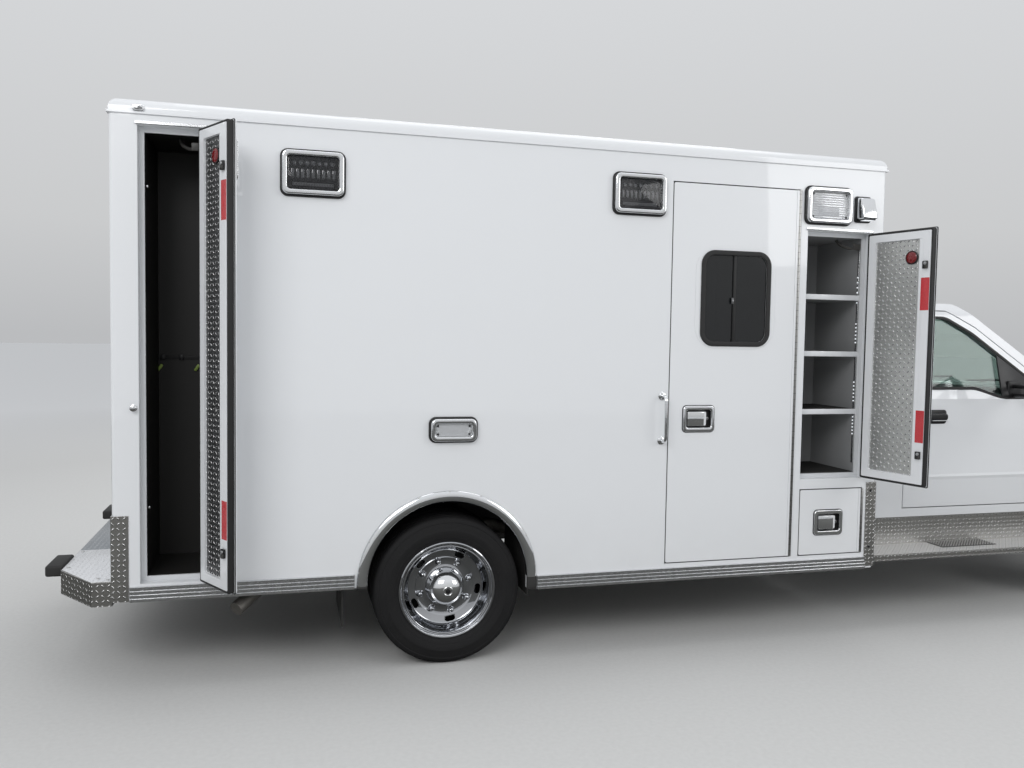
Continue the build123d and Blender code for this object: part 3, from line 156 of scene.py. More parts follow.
# %% Finish
class Finish:
    """A material being made: one Principled shader and what feeds it."""

    def __init__(self, name, colour, roughness=0.5, metallic=0.0, **fixed):
        self.material = bpy.data.materials.new(name)
        self.material.use_nodes = True
        self.tree = self.material.node_tree
        self.tree.nodes.clear()
        output = self.tree.nodes.new("ShaderNodeOutputMaterial")
        self.shader = self.tree.nodes.new("ShaderNodeBsdfPrincipled")
        self.tree.links.new(self.shader.outputs["BSDF"], output.inputs["Surface"])
        self.material.diffuse_color = (*colour, 1.0)
        self.set("Base Color", (*colour, 1.0))
        self.set("Roughness", roughness)
        self.set("Metallic", metallic)
        for socket, value in fixed.items():
            self.set(socket.replace("_", " "), value)
        self.coordinates = None

    def feed(self, socket, value):
        if isinstance(value, Signal):
            self.tree.links.new(value.socket, socket)
        else:
            socket.default_value = value

    def set(self, socket, value):
        self.feed(self.shader.inputs[socket], value)

    def node(self, kind, settings=None, sockets=None, output=0):
        """Adds a node: its settings first, then the values or links of its sockets."""
        made = self.tree.nodes.new(kind)
        for name, value in (settings or {}).items():
            setattr(made, name, value)
        for name, value in (sockets or {}).items():
            self.feed(made.inputs[name], value)
        return Signal(self, made.outputs[output])

    def maths(self, operation, *values, clamp=False):
        """A Math node on numbers and signals."""
        settings = {"operation": operation, "use_clamp": clamp}
        return self.node("ShaderNodeMath", settings, dict(enumerate(values)))

    def where(self):
        """The point on the object, in metres."""
        if self.coordinates is None:
            self.coordinates = self.node("ShaderNodeTexCoord", output="Object")
        return self.coordinates

    def axes(self, vector=None):
        """The x, y and z of a point as three signals."""
        split = self.node("ShaderNodeSeparateXYZ", sockets={0: vector or self.where()})
        return [Signal(self, socket) for socket in split.socket.node.outputs]

    def noise(self, scale, detail=2.0, stretch=(1, 1, 1)):
        point = self.where()
        if stretch != (1, 1, 1):
            point = self.node("ShaderNodeMapping", sockets={"Vector": point, "Scale": stretch})
        sockets = {"Vector": point, "Scale": scale, "Detail": detail}
        return self.node("ShaderNodeTexNoise", sockets=sockets)

    def blend(self, amount, colour_a, colour_b):
        """Colour a turning into colour b as amount goes from 0 to 1."""
        settings = {"data_type": "RGBA"}
        colours = [c if isinstance(c, Signal) else (*c, 1.0) for c in (colour_a, colour_b)]
        return self.node("ShaderNodeMix", settings, {0: amount, 6: colours[0], 7: colours[1]}, output=2)

    def bump(self, height, distance, strength=1.0, base=None):
        sockets = {"Height": height, "Distance": distance, "Strength": strength}
        if base is not None:
            sockets["Normal"] = base
        made = self.node("ShaderNodeBump", sockets=sockets)
        self.set("Normal", made)
        return made

    def soft_edges(self, radius):
        """A normal that rounds the sharp edges of a sheet-metal part by radius."""
        return self.node("ShaderNodeBevel", {"samples": 4}, {"Radius": radius})


print("shader tools ready")

# %% [markdown]
# ## Paint
# The body is sprayed gloss white. Real panels are never quite flat, so reflections wander a little,
# and the lacquer has a faint orange peel. Road dust settles low down.


# %% Paint and plain metals
def white_paint():
    paint = Finish("gloss_white", (0.80, 0.815, 0.835), 0.3, Coat_Weight=1.0, Coat_Roughness=0.03)
    x, _, z = paint.axes()
    dust = (0.9 - z).clipped() * paint.noise(7.0, 4.0) * 0.30
    paint.set("Base Color", paint.blend(dust, (0.80, 0.815, 0.835), (0.42, 0.40, 0.37)))
    paint.set("Roughness", 0.26 + 0.08 * paint.noise(2.5, 3.0) + 0.4 * dust)
    panels = paint.bump(paint.noise(0.9, 1.0), 0.006, 0.5, base=paint.soft_edges(0.003))
    on_cab = (x - station(BODY_FRONT + 0.03)).above(0.0)
    ridge = (1 - abs(z - CAB_CREASE) / 0.018).clipped()
    tucked = on_cab * ((CAB_CREASE - z).clipped() * (0 - 0.20) + 0.004 * ridge)
    sides = paint.bump(tucked, 1.0, 1.0, base=panels)
    paint.bump(paint.noise(260.0, 1.0), 0.00012, 0.25, base=sides)
    return paint.material


def chrome(name="chrome", colour=(0.86, 0.87, 0.88), polish=0.05):
    plate = Finish(name, colour, polish, 1.0)
    plate.set("Roughness", polish + 0.06 * plate.noise(14.0, 4.0))
    plate.bump(plate.noise(5.0, 1.0), 0.0006, 0.3, base=plate.soft_edges(0.002))
    return plate.material


def brushed(name, colour, roughness, grain=(1, 60, 60)):
    """Metal with a drawn grain that runs along the axis with the small number in grain."""
    metal = Finish(name, colour, roughness, 1.0)
    streaks = metal.noise(22.0, 3.0, grain)
    metal.set("Roughness", roughness - 0.08 + 0.18 * streaks)
    metal.set("Base Color", metal.blend(streaks, colour, tuple(0.82 * c for c in colour)))
    metal.bump(streaks, 0.0002, 0.35, base=metal.soft_edges(0.0015))
    return metal.material


def frame_paint():
    paint = Finish("frame_black", (0.02, 0.02, 0.021), 0.42)
    dust = paint.noise(9.0, 5.0)
    paint.set("Base Color", paint.blend(dust * 0.35, (0.02, 0.02, 0.021), (0.16, 0.15, 0.13)))
    paint.set("Roughness", 0.32 + 0.35 * dust)
    paint.bump(paint.noise(160.0, 2.0), 0.0004, 0.3, base=paint.soft_edges(0.003))
    return paint.material


def cast_metal(name, colour, metallic):
    metal = Finish(name, colour, 0.6, metallic)
    grime = metal.noise(16.0, 5.0)
    metal.set("Base Color", metal.blend(grime * 0.6, colour, (0.05, 0.045, 0.04)))
    metal.set("Roughness", 0.45 + 0.3 * grime)
    metal.bump(metal.noise(220.0, 3.0), 0.0008, 0.5, base=metal.soft_edges(0.004))
    return metal.material


print("paint and metals ready")

# %% [markdown]
# ## Tread plate
# Steps, guards and the backs of the doors are embossed aluminium: small lozenges that lie crosswise
# to their neighbours. One formula makes them. Space is cut into square cells; in every second cell
# the lozenge is turned by swapping the two diagonals. The face's own normal picks the two axes of
# the pattern, and a turned door gets its pattern turned with it.


# %% Tread plate
LOZENGE_PITCH = 0.026


def tread_plate(
    name, heading=0.0, shade=(0.86, 0.86, 0.85), between=(0.48, 0.47, 0.45), top=(0.50, 0.50, 0.50)
):
    """Embossed plate; between and top colour the ground of upright and of level faces, set per plate as painted
    light and shade, and the raised lozenges are painted brighter as painted highlight.

    heading is that of an upright sheet, in degrees from +X.
    """
    plate = Finish(name, shade, 0.3, 1.0)
    spin = {"Vector": plate.where(), "Rotation": (0, 0, -math.radians(heading))}
    x, y, z = plate.axes(plate.node("ShaderNodeMapping", sockets=spin))
    normal = plate.node("ShaderNodeNewGeometry", output="Normal")
    out = [abs(part) for part in plate.axes(normal)]
    is_top = out[2].above(0.7)
    is_end = out[0].above(0.75) if not heading else 0.0
    across = (x * (1 - is_end) + y * is_end) / LOZENGE_PITCH
    upward = (z * (1 - is_top) + y * is_top) / LOZENGE_PITCH
    odd = (across.floor() + upward.floor()) % 2.0
    from_middle = [across - across.floor() - 0.5, upward - upward.floor() - 0.5]
    rising = from_middle[0] + from_middle[1]
    falling = from_middle[0] - from_middle[1]
    lengthwise = rising * odd + falling * (1 - odd)
    crosswise = falling * odd + rising * (1 - odd)
    lozenge = (1 - lengthwise * lengthwise / 0.30 - crosswise * crosswise / 0.034).clipped()
    raised = (lozenge * 3.0).clipped()
    stain = plate.noise(6.0, 4.0)
    # Painted light: the ground takes one colour on level faces and another on upright ones, and the raised
    # lozenges are painted brighter than it, as painted highlight
    field = plate.blend(is_top, between, top)
    plate.set("Base Color", plate.blend(raised, field, shade))
    plate.set("Roughness", 0.26 - 0.12 * raised + 0.14 * stain)
    plate.set("Metallic", 1.0 - 0.55 * is_top)
    plate.bump(lozenge, 0.0035, 1.0, base=plate.soft_edges(0.002))
    return plate.material


print("lozenge pitch in metres:", LOZENGE_PITCH)

# %% [markdown]
# ## Rubber, plastic, cloth and glass
# Each of these is told apart by how it scatters light: tyre rubber is dusty and rough, moulded
# plastic has a fine leather-like grain, and glass is nearly clear and very smooth.


# %% Soft finishes
def rubber(name, colour, roughness, grain=90.0, dust=0.25):
    skin = Finish(name, colour, roughness)
    worn = skin.noise(12.0, 4.0)
    skin.set("Base Color", skin.blend(worn * dust, colour, (0.13, 0.125, 0.115)))
    skin.set("Roughness", roughness - 0.1 + 0.2 * worn)
    skin.bump(skin.noise(grain, 3.0), 0.0005, 0.4, base=skin.soft_edges(0.002))
    return skin.material


def moulded(name, colour, roughness=0.45):
    skin = Finish(name, colour, roughness)
    grain = skin.node("ShaderNodeTexVoronoi", sockets={"Vector": skin.where(), "Scale": 420.0})
    skin.set("Roughness", roughness - 0.06 + 0.12 * skin.noise(20.0, 2.0))
    skin.bump(grain, 0.0003, 0.4, base=skin.soft_edges(0.003))
    return skin.material


def lining(name, colour, roughness=0.5, painted_shade_behind=None):
    """Baked paint with a fine speckle; behind an x the lockers are painted near black inside, as painted shade
    of the deep lockers.
    """
    skin = Finish(name, colour, roughness)
    speck = skin.noise(340.0, 2.0)
    grained = skin.blend(speck, tuple(0.88 * c for c in colour), tuple(1.06 * c for c in colour))
    if painted_shade_behind is not None:
        x, y, _ = skin.axes()
        # Painted shade: the deep lockers behind that x are painted near black inside
        grained = skin.blend((painted_shade_behind - x).above(0.0), grained, (0.016, 0.015, 0.014))
        flange = (abs(y) - INNER_HALF + 0.012).above(0.0)
        grained = skin.blend(flange, grained, (0.74, 0.755, 0.775))
    skin.set("Base Color", grained)
    skin.bump(speck, 0.0003, 0.3, base=skin.soft_edges(0.002))
    return skin.material


def woven(name, colour):
    cloth = Finish(name, colour, 0.9, Sheen_Weight=0.4)
    x, y, z = cloth.axes()
    warp = cloth.node("ShaderNodeMath", {"operation": "SINE"}, {0: (x + z) * 1400.0})
    weft = cloth.node("ShaderNodeMath", {"operation": "SINE"}, {0: (y + z * 0.3) * 1400.0})
    threads = 0.5 + 0.25 * warp + 0.25 * weft
    dark, light = (tuple(share * c for c in colour) for share in (0.7, 1.2))
    cloth.set("Base Color", cloth.blend(threads, dark, light))
    cloth.bump(threads, 0.0006, 0.5)
    return cloth.material


print("soft finishes ready")


# %% Clear, glowing and layered finishes
def clear(name, colour, alpha):
    pane = Finish(name, colour, 0.03, Alpha=alpha, Coat_Weight=0.5, Coat_Roughness=0.02)
    pane.set("Roughness", 0.03 + 0.03 * pane.noise(3.0, 3.0))
    pane.bump(pane.noise(1.6, 1.0), 0.0015, 0.2)
    return pane.material


def window_glass(name, tint):
    """Glass that light goes through, taking its tint."""
    pane = Finish(name, tint, 0.01, Transmission_Weight=1.0, IOR=1.45)
    pane.set("Roughness", 0.012 * pane.noise(3.0, 3.0))
    return pane.material


def reflective_tape(name, colour):
    """Tape with a honeycomb of tiny cells under a clear skin."""
    tape = Finish(name, colour, 0.3, Coat_Weight=1.0, Coat_Roughness=0.06)
    cells = tape.node(
        "ShaderNodeTexVoronoi", {"feature": "DISTANCE_TO_EDGE"}, {"Vector": tape.where(), "Scale": 260.0}
    )
    edge = (cells * 9.0).clipped()
    tape.set("Base Color", tape.blend(edge, tuple(0.55 * c for c in colour), colour))
    tape.bump(edge, 0.0002, 0.4)
    return tape.material


def glowing(name, colour, strength):
    lamp = Finish(name, colour, 0.2, Emission_Strength=strength)
    lamp.set("Emission Color", lamp.blend(lamp.noise(60.0), colour, tuple(0.8 * c for c in colour)))
    return lamp.material


def floor_layers():
    """The box's floor: near black below and in the wheel wells, grey vinyl on top."""
    layers = Finish("floor_layers", (0.02, 0.02, 0.02), 0.6)
    x, y, z = layers.axes()
    well = (0.48 - abs(x - REAR_AXLE)).above(0.0) * (abs(y) - 0.60).above(0.0)
    vinyl = (z - FLOOR_TOP + 0.01).above(0.0) * (1 - well)
    fleck = layers.noise(180.0, 3.0)
    worn = layers.blend(fleck, (0.20, 0.205, 0.21), (0.27, 0.275, 0.28))
    near_black = layers.blend(fleck, (0.012, 0.012, 0.012), (0.022, 0.021, 0.020))
    layers.set("Base Color", layers.blend(vinyl, near_black, worn))
    layers.set("Roughness", 0.72 - 0.25 * vinyl)
    layers.bump(fleck, 0.0012, 0.5)
    return layers.material


print("clear finishes ready")

# %% The palette
paint = white_paint()
bright = chrome()
# Painted reflection: the wheel covers' chrome is painted darker than the other chrome, standing in for dark
# surroundings mirrored in it
dish_chrome_painted_dark = chrome("wheel_chrome_painted_dark", (0.50, 0.51, 0.53), 0.04)
stainless = brushed("stainless", (0.62, 0.62, 0.61), 0.3, (40, 40, 1))
polished = brushed("polished_aluminium", (0.80, 0.81, 0.82), 0.24)
satin_metal = brushed("satin_aluminium", (0.55, 0.56, 0.57), 0.4)
tread = tread_plate("tread_plate")
black_frame = frame_paint()
engine_metal = cast_metal("engine_metal", (0.20, 0.20, 0.21), 0.6)
exhaust_metal = cast_metal("exhaust_metal", (0.42, 0.40, 0.37), 0.9)
tyre_rubber = rubber("tyre_rubber", (0.018, 0.018, 0.019), 0.78)
seal_rubber = rubber("seal_rubber", (0.012, 0.012, 0.013), 0.6, 140.0, 0.08)
mat_rubber = rubber("mat_rubber", (0.02, 0.02, 0.02), 0.75, 50.0, 0.15)
black_plastic = moulded("black_plastic", (0.010, 0.010, 0.011), 0.38)
grey_plastic = moulded("grey_plastic", (0.13, 0.13, 0.135), 0.55)
locker_grey = lining("locker_grey", (0.30, 0.305, 0.31), painted_shade_behind=station(0.0))
cabinet_white = lining("cabinet_white", (0.66, 0.67, 0.68), 0.35)
clip_green = moulded("clip_green", (0.24, 0.34, 0.06), 0.4)
seat_cloth = woven("seat_cloth", (0.10, 0.10, 0.105))
seat_vinyl = moulded("seat_vinyl", (0.06, 0.085, 0.14), 0.5)
smoked = clear("smoked_lens", (0.02, 0.021, 0.024), 0.42)
clear_lens = clear("clear_lens", (0.80, 0.82, 0.84), 0.28)
red_lens = clear("red_lens", (0.20, 0.006, 0.008), 0.86)
amber_lens = clear("amber_lens", (0.75, 0.20, 0.01), 0.85)
privacy_glass = clear("privacy_glass", (0.006, 0.007, 0.008), 0.86)
cab_glass = window_glass("cab_glass", (0.50, 0.60, 0.56))
red_tape = reflective_tape("red_tape", (0.62, 0.02, 0.03))
led_white = glowing("led_white", (0.90, 0.93, 0.97), 0.7)
led_chip = glowing("led_chip", (0.30, 0.31, 0.33), 0.15)
print("finishes:", len(bpy.data.materials))

# %% [markdown]
# ## Dressing the solid parts
# The parts whose shape is already right only need their finish. A part keeps its mesh, and the new
# material takes the place of its plain one.

# %% Finishes of the solid parts
DRESSED = (
    (black_frame, "frame_rails front_axle rear_axle knuckle_left knuckle_right"),
    (engine_metal, "engine"), (exhaust_metal, "exhaust"), (floor_layers(), "body_floor"),
    (paint, "right_wall left_wall front_wall rear_wall roof cab_shell fenders hood"),
    (paint, "cab_door_left cab_door_right entry_door rear_door_left rear_door_right"),
    (paint, "right_rear_door right_front_door right_lower_door"),
    (paint, "left_front_door left_middle_door left_rear_door"),
    (locker_grey, "right_lockers left_lockers"), (polished, "rub_rails"),
    (bright, "arch_trims bright_fittings front_bumper"),
    (tread, "corner_guards rear_step running_boards"),
    (mat_rubber, "rubber_pieces"), (smoked, "lenses"), (seat_cloth, "cab_seats"),
    (cab_glass, "cab_panes cab_window_left cab_window_right"),
    (privacy_glass, "entry_window rear_window_left rear_window_right"),
    (black_plastic, "fuel_tank grille mirror_left mirror_right"),
    (grey_plastic, "dashboard"), (cabinet_white, "room_fittings"),
    (tyre_rubber, "front_tyre_left front_tyre_right rear_tyres_left rear_tyres_right"),
    (dish_chrome_painted_dark, "front_rim_left front_rim_right rear_rims_left rear_rims_right"),
)
finish_of = {name: material for material, names in DRESSED for name in names.split()}
for name, material in finish_of.items():
    nodes[name].data.materials.clear()
    nodes[name].data.materials.append(material)
print("dressed", len(finish_of), "parts; without a finish:", sorted(set(nodes) - set(finish_of)))

# %% [markdown]
# ## Tools for new pieces
# A new piece is one mesh. Shapes such as a slab, a drum or a turned profile are made at the origin
# with bmesh operators, then put in their place in the piece with a matrix. A matrix may mirror a
# shape, and then its faces are turned round so that they still point outwards.


# %% Piece
def pour(shape, whole):
    """Adds a shape to a larger one. The shape is used up."""
    carrier = bpy.data.meshes.new("carrier")
    shape.to_mesh(carrier)
    shape.free()
    whole.from_mesh(carrier)
    bpy.data.meshes.remove(carrier)


class Piece:
    """One mesh being built from shapes, each with a finish."""

    def __init__(self, name):
        self.name = name
        self.mesh = bmesh.new()
        self.finishes = []

    def add(self, shape, finish, place=None):
        """Puts a shape into the piece. The shape is used up."""
        if finish not in self.finishes:
            self.finishes.append(finish)
        for face in shape.faces:
            face.material_index = self.finishes.index(finish)
            face.smooth = True
        if place is not None:
            bmesh.ops.transform(shape, matrix=place, verts=shape.verts)
            if place.determinant() < 0:
                bmesh.ops.reverse_faces(shape, faces=shape.faces)
        pour(shape, self.mesh)

    def finish(self, body, slot, replaces=(), crease=35.0):
        """Makes the object, marks sharp edges and fastens it to its body."""
        data = bpy.data.meshes.new(self.name)
        for edge in self.mesh.edges:
            if len(edge.link_faces) == 2 and edge.calc_face_angle() > math.radians(crease):
                edge.smooth = False
        self.mesh.to_mesh(data)
        self.mesh.free()
        for material in self.finishes:
            data.materials.append(material)
        made = in_scene(self.name, data)
        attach(made, body)
        if replaces:
            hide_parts(*replaces)
        print(self.name, len(data.polygons), "faces")
        return made


# %% Shapes
def is_level(edge):
    """Whether an edge lies level."""
    return abs(edge.verts[0].co.z - edge.verts[1].co.z) < 1e-6


def raised(shape, thick):
    """Pulls flat faces up by thick into a solid."""
    pulled = bmesh.ops.extrude_face_region(shape, geom=shape.faces[:])
    top = [item for item in pulled["geom"] if isinstance(item, bmesh.types.BMVert)]
    bmesh.ops.translate(shape, vec=(0, 0, thick), verts=top)
    bmesh.ops.recalc_face_normals(shape, faces=shape.faces)


def bevelled(shape, width, steps=2, edges=None):
    """Rounds a shape's edges."""
    edges = shape.edges[:] if edges is None else edges
    if width > 0:
        bmesh.ops.bevel(
            shape, geom=edges, offset=width, offset_type="OFFSET", affect="EDGES", segments=steps,
            profile=0.5, material=-1, clamp_overlap=True,
        )
    return shape


def slab(width, depth, height, edge=0.002, steps=2):
    """A block with rounded edges, centred on the origin."""
    shape = bmesh.new()
    bmesh.ops.create_cube(shape, size=1.0)
    bmesh.ops.scale(shape, vec=(width, depth, height), verts=shape.verts)
    return bevelled(shape, edge, steps)


def drum(radius, length, edge=0.001, sides=32):
    """A round bar along z, standing on the origin."""
    shape = bmesh.new()
    bmesh.ops.create_cone(shape, cap_ends=True, segments=sides, radius1=radius, radius2=radius, depth=length)
    bmesh.ops.translate(shape, vec=(0, 0, length / 2), verts=shape.verts)
    return bevelled(shape, edge, 2, [e for e in shape.edges if is_level(e)])


def turned(profile, sides=64, sweep=360.0):
    """A profile of (radius, height) points turned about z."""
    shape = bmesh.new()
    points = [shape.verts.new((radius, 0, height)) for radius, height in profile]
    for first, second in zip(points, points[1:]):
        shape.edges.new((first, second))
    full = sweep >= 360.0
    bmesh.ops.spin(
        shape, geom=shape.verts[:] + shape.edges[:], axis=(0, 0, 1), cent=(0, 0, 0),
        angle=math.radians(sweep), steps=sides, use_merge=full,
    )
    bmesh.ops.remove_doubles(shape, verts=shape.verts, dist=1e-6)
    bmesh.ops.recalc_face_normals(shape, faces=shape.faces)
    return shape


print("blocks, bars and turned forms ready")


# %% Flat shapes
def rounded(width, height, radius, steps=6):
    """The corner points of a rounded rectangle about the origin."""
    points = []
    for quarter, (sx, sy) in enumerate(((1, 1), (-1, 1), (-1, -1), (1, -1))):
        for step in range(steps + 1):
            angle = math.radians(90 * (quarter + step / steps))
            x = sx * (width / 2 - radius) + radius * math.cos(angle)
            points.append((x, sy * (height / 2 - radius) + radius * math.sin(angle)))
    return points


def plate(outline, thick, edge=0.0008, steps=2):
    """A flat plate with an outline, standing up from z 0 by thick."""
    shape = bmesh.new()
    shape.faces.new([shape.verts.new((x, y, 0)) for x, y in outline])
    raised(shape, thick)
    return bevelled(shape, edge, steps, [e for e in shape.edges if is_level(e)])


def hoop(outer, inner, thick, edge=0.001, steps=2):
    """A flat ring between two outlines with as many points, standing up from z 0 by thick."""
    shape = bmesh.new()
    for outline in (outer, inner):
        verts = [shape.verts.new((x, y, 0)) for x, y in outline]
        for first, second in zip(verts, verts[1:] + verts[:1]):
            shape.edges.new((first, second))
    bmesh.ops.bridge_loops(shape, edges=shape.edges[:])
    raised(shape, thick)
    rims = [
        e for e in shape.edges
        if len(e.link_faces) == 2 and is_level(e) and e.calc_face_angle() > 0.5
    ]
    return bevelled(shape, edge, steps, rims)


print("points in a rounded outline:", len(rounded(1.0, 1.0, 0.1)))


# %% Rods and places
def rod(points, radius, sides=12, smooth_by=0.0):
    """A round bar along points; smooth_by rounds its corners."""
    curve = bpy.data.curves.new("rod", "CURVE")
    curve.dimensions = "3D"
    curve.bevel_depth = radius
    curve.bevel_resolution = sides // 4
    curve.use_fill_caps = True
    spline = curve.splines.new("POLY" if not smooth_by else "BEZIER")
    if smooth_by:
        route = [Vector(p) for p in points]
        corners = [route[0]]
        for before, corner, after in zip(route, route[1:], route[2:]):
            corners += [corner + (before - corner).normalized() * smooth_by]
            corners += [corner + (after - corner).normalized() * smooth_by]
        corners.append(route[-1])
        spline.bezier_points.add(len(corners) - 1)
        for point, place in zip(spline.bezier_points, corners):
            point.co = point.handle_left = point.handle_right = place
            point.handle_left_type = point.handle_right_type = "FREE"
        for index in range(1, len(corners) - 1, 2):
            middle = route[(index + 1) // 2]
            spline.bezier_points[index].handle_right = corners[index].lerp(middle, 0.55)
            spline.bezier_points[index + 1].handle_left = corners[index + 1].lerp(middle, 0.55)
    else:
        spline.points.add(len(points) - 1)
        for point, place in zip(spline.points, points):
            point.co = (*place, 1.0)
    holder = bpy.data.objects.new("rod", curve)
    mesh = bpy.data.meshes.new_from_object(holder)
    shape = bmesh.new()
    shape.from_mesh(mesh)
    bmesh.ops.remove_doubles(shape, verts=shape.verts, dist=1e-6)
    bpy.data.objects.remove(holder)
    bpy.data.meshes.remove(mesh)
    bpy.data.curves.remove(curve)
    return shape


def facing(origin, out, up=(0, 0, 1)):
    """A place whose z points out, whose y points up and whose x runs to the viewer's right."""
    out = Vector(out).normalized()
    up = Vector(up)
    across = up.cross(out).normalized()
    turn = Matrix((across, out.cross(across), out)).transposed()
    return Matrix.Translation(origin) @ turn.to_4x4()


def at(x, y, z=0.0):
    return Matrix.Translation((x, y, z))


def turned_by(angle, axis="Z"):
    return Matrix.Rotation(math.radians(angle), 4, axis)


print("shape tools ready")

# %% [markdown]
# ## The doors' own places
# A door's details are drawn flat, as on the bench: x runs from the hinge line to the free edge, y is
# height above the ground, and z points out of the body. One matrix per door carries them to where the
# door hangs, shut or standing open.

# %% Door places
# Columns: door, side (1 right, -1 left), hinge ahead of the rear axle, width, sill, head, angle open
SIDE_DOORS = (
    ("right_rear_door", 1, -1.228, 0.318, 0.542, 2.778, 120),
    ("right_front_door", 1, 2.581, 0.439, 0.962, 2.450, 106),
    ("right_lower_door", 1, 2.581, 0.439, 0.493, 0.901, 0),
    ("left_front_door", -1, 2.581, 0.439, 0.493, 2.450, 0),
    ("left_middle_door", -1, 1.300, 0.660, 0.493, 1.500, 0),
    ("left_rear_door", -1, -0.860, 0.686, 0.542, 2.000, 0),
    ("entry_door", 1, 2.086, 0.821, 0.493, 2.687, 0),
)
# Columns: width, sill, head of each rear door
REAR_DOOR = (0.635, 0.850, 2.560)


def door_place(side, hinge_x, hinge_y, closed, opened):
    """The matrix of a door's bench drawing; z 0 is the outer skin."""
    closed_out = math.radians(closed + 90 * side)
    pivot = Vector((hinge_x, hinge_y, 0)) + HINGE_OUT * Vector((math.cos(closed_out), math.sin(closed_out), 0))
    heading = math.radians(closed + side * opened)
    out = math.radians(closed + side * opened + 90 * side)
    along = Vector((math.cos(heading), math.sin(heading), 0))
    outward = Vector((math.cos(out), math.sin(out), 0))
    turn = Matrix((along, Vector((0, 0, 1)), outward)).transposed()
    return Matrix.Translation(pivot - HINGE_OUT * outward) @ turn.to_4x4()


place_of, size_of = {}, {}
for door, side, hinge, *size, opened in SIDE_DOORS:
    place_of[door] = door_place(side, station(hinge), -side * BODY_HALF, 180, opened)
    size_of[door] = size
for side, name in ((1, "right"), (-1, "left")):
    door = "rear_door_" + name
    place_of[door] = door_place(side, station(BODY_REAR), -side * REAR_DOOR[0], side * 90, 0)
    size_of[door] = REAR_DOOR
print("doors placed:", len(place_of))

# %% [markdown]
# ## Studio
# A plain pale floor and soft light. The world is a gentle gradient, lighter overhead, so that the
# bright metal has something to reflect. Large lamps stand high on both sides, like softboxes.

# %% Floor
NEAR_FLOOR = 9.0
FLOOR_RADIUS = 160.0


def studio_piece(name, shape, finish):
    """A shape made into an object of the studio."""
    data = bpy.data.meshes.new(name)
    shape.to_mesh(data)
    shape.free()
    data.materials.append(finish.material)
    return in_scene(name, data)


floor_finish = Finish("studio_floor", (0.66, 0.66, 0.65), 0.9, Specular_IOR_Level=0.0)
speckle = floor_finish.noise(40.0, 4.0)
near = floor_finish.blend(speckle, (0.60, 0.60, 0.59), (0.68, 0.68, 0.67))
floor_x, floor_y, _ = floor_finish.axes()
from_middle = floor_finish.maths("SQRT", floor_x * floor_x + floor_y * floor_y)
far = ((from_middle - NEAR_FLOOR) / NEAR_FLOOR).clipped()
floor_finish.set("Base Color", floor_finish.blend(far, near, (0.84, 0.845, 0.85)))
floor_shape = bmesh.new()
bmesh.ops.create_circle(floor_shape, cap_ends=True, segments=96, radius=FLOOR_RADIUS)
floor = studio_piece("studio_floor", floor_shape, floor_finish)
print("floor radius in metres:", FLOOR_RADIUS)

# %% Sky
# Columns: sine of the height above the horizon, colour
SKY_STOPS = ((0.0, (0.62, 0.63, 0.645, 1)), (0.6, (0.93, 0.95, 0.98, 1)))
LOW_STOP = (0.12, (0.74, 0.75, 0.76, 1))
SKY_STRENGTH = 0.70
SEEN_STRENGTH = 0.10
world = bpy.data.worlds.new("studio")
world.use_nodes = True
bpy.context.scene.world = world
sky = world.node_tree
background = sky.nodes["Background"]
direction = sky.nodes.new("ShaderNodeTexCoord")
heights = sky.nodes.new("ShaderNodeSeparateXYZ")
ramp = sky.nodes.new("ShaderNodeValToRGB")
sky.links.new(direction.outputs["Generated"], heights.inputs[0])
sky.links.new(heights.outputs["Z"], ramp.inputs[0])
sky.links.new(ramp.outputs["Color"], background.inputs["Color"])
for stop, (sine, colour) in zip(ramp.color_ramp.elements, SKY_STOPS):
    stop.position = sine
    stop.color = colour
ramp.color_ramp.elements.new(LOW_STOP[0]).color = LOW_STOP[1]
rays = sky.nodes.new("ShaderNodeLightPath").outputs


def sky_maths(operation, *values):
    """A Math node of the sky on sockets and numbers."""
    made = sky.nodes.new("ShaderNodeMath")
    made.operation = operation
    for socket, value in zip(made.inputs, values):
        if isinstance(value, float):
            socket.default_value = value
        else:
            sky.links.new(value, socket)
    return made.outputs[0]


# The sky is a little brighter where it is seen or mirrored than in the light that it gives
seen = sky_maths("ADD", rays["Is Camera Ray"], rays["Is Transmission Ray"])
mirrored = sky_maths("ADD", seen, rays["Is Glossy Ray"])
strength = sky_maths("MULTIPLY_ADD", mirrored, SEEN_STRENGTH, SKY_STRENGTH)
sky.links.new(strength, background.inputs["Strength"])
print("sky nodes:", len(sky.nodes))

# %% Dark cloth and lamps
# A dark cloth on the floor, as studios use for bright metal: only reflections see it
CLOTH_RADIUS = 17.0
CLOTH_HEIGHT = 0.004
flag_shape = turned(((0.0, CLOTH_HEIGHT), (CLOTH_RADIUS, CLOTH_HEIGHT)), 96)
flag = studio_piece("dark_flag", flag_shape, Finish("dark_flag", (0.08, 0.08, 0.075), 0.9))
for unseen in ("camera", "diffuse", "transmission", "shadow"):
    setattr(flag, "visible_" + unseen, False)

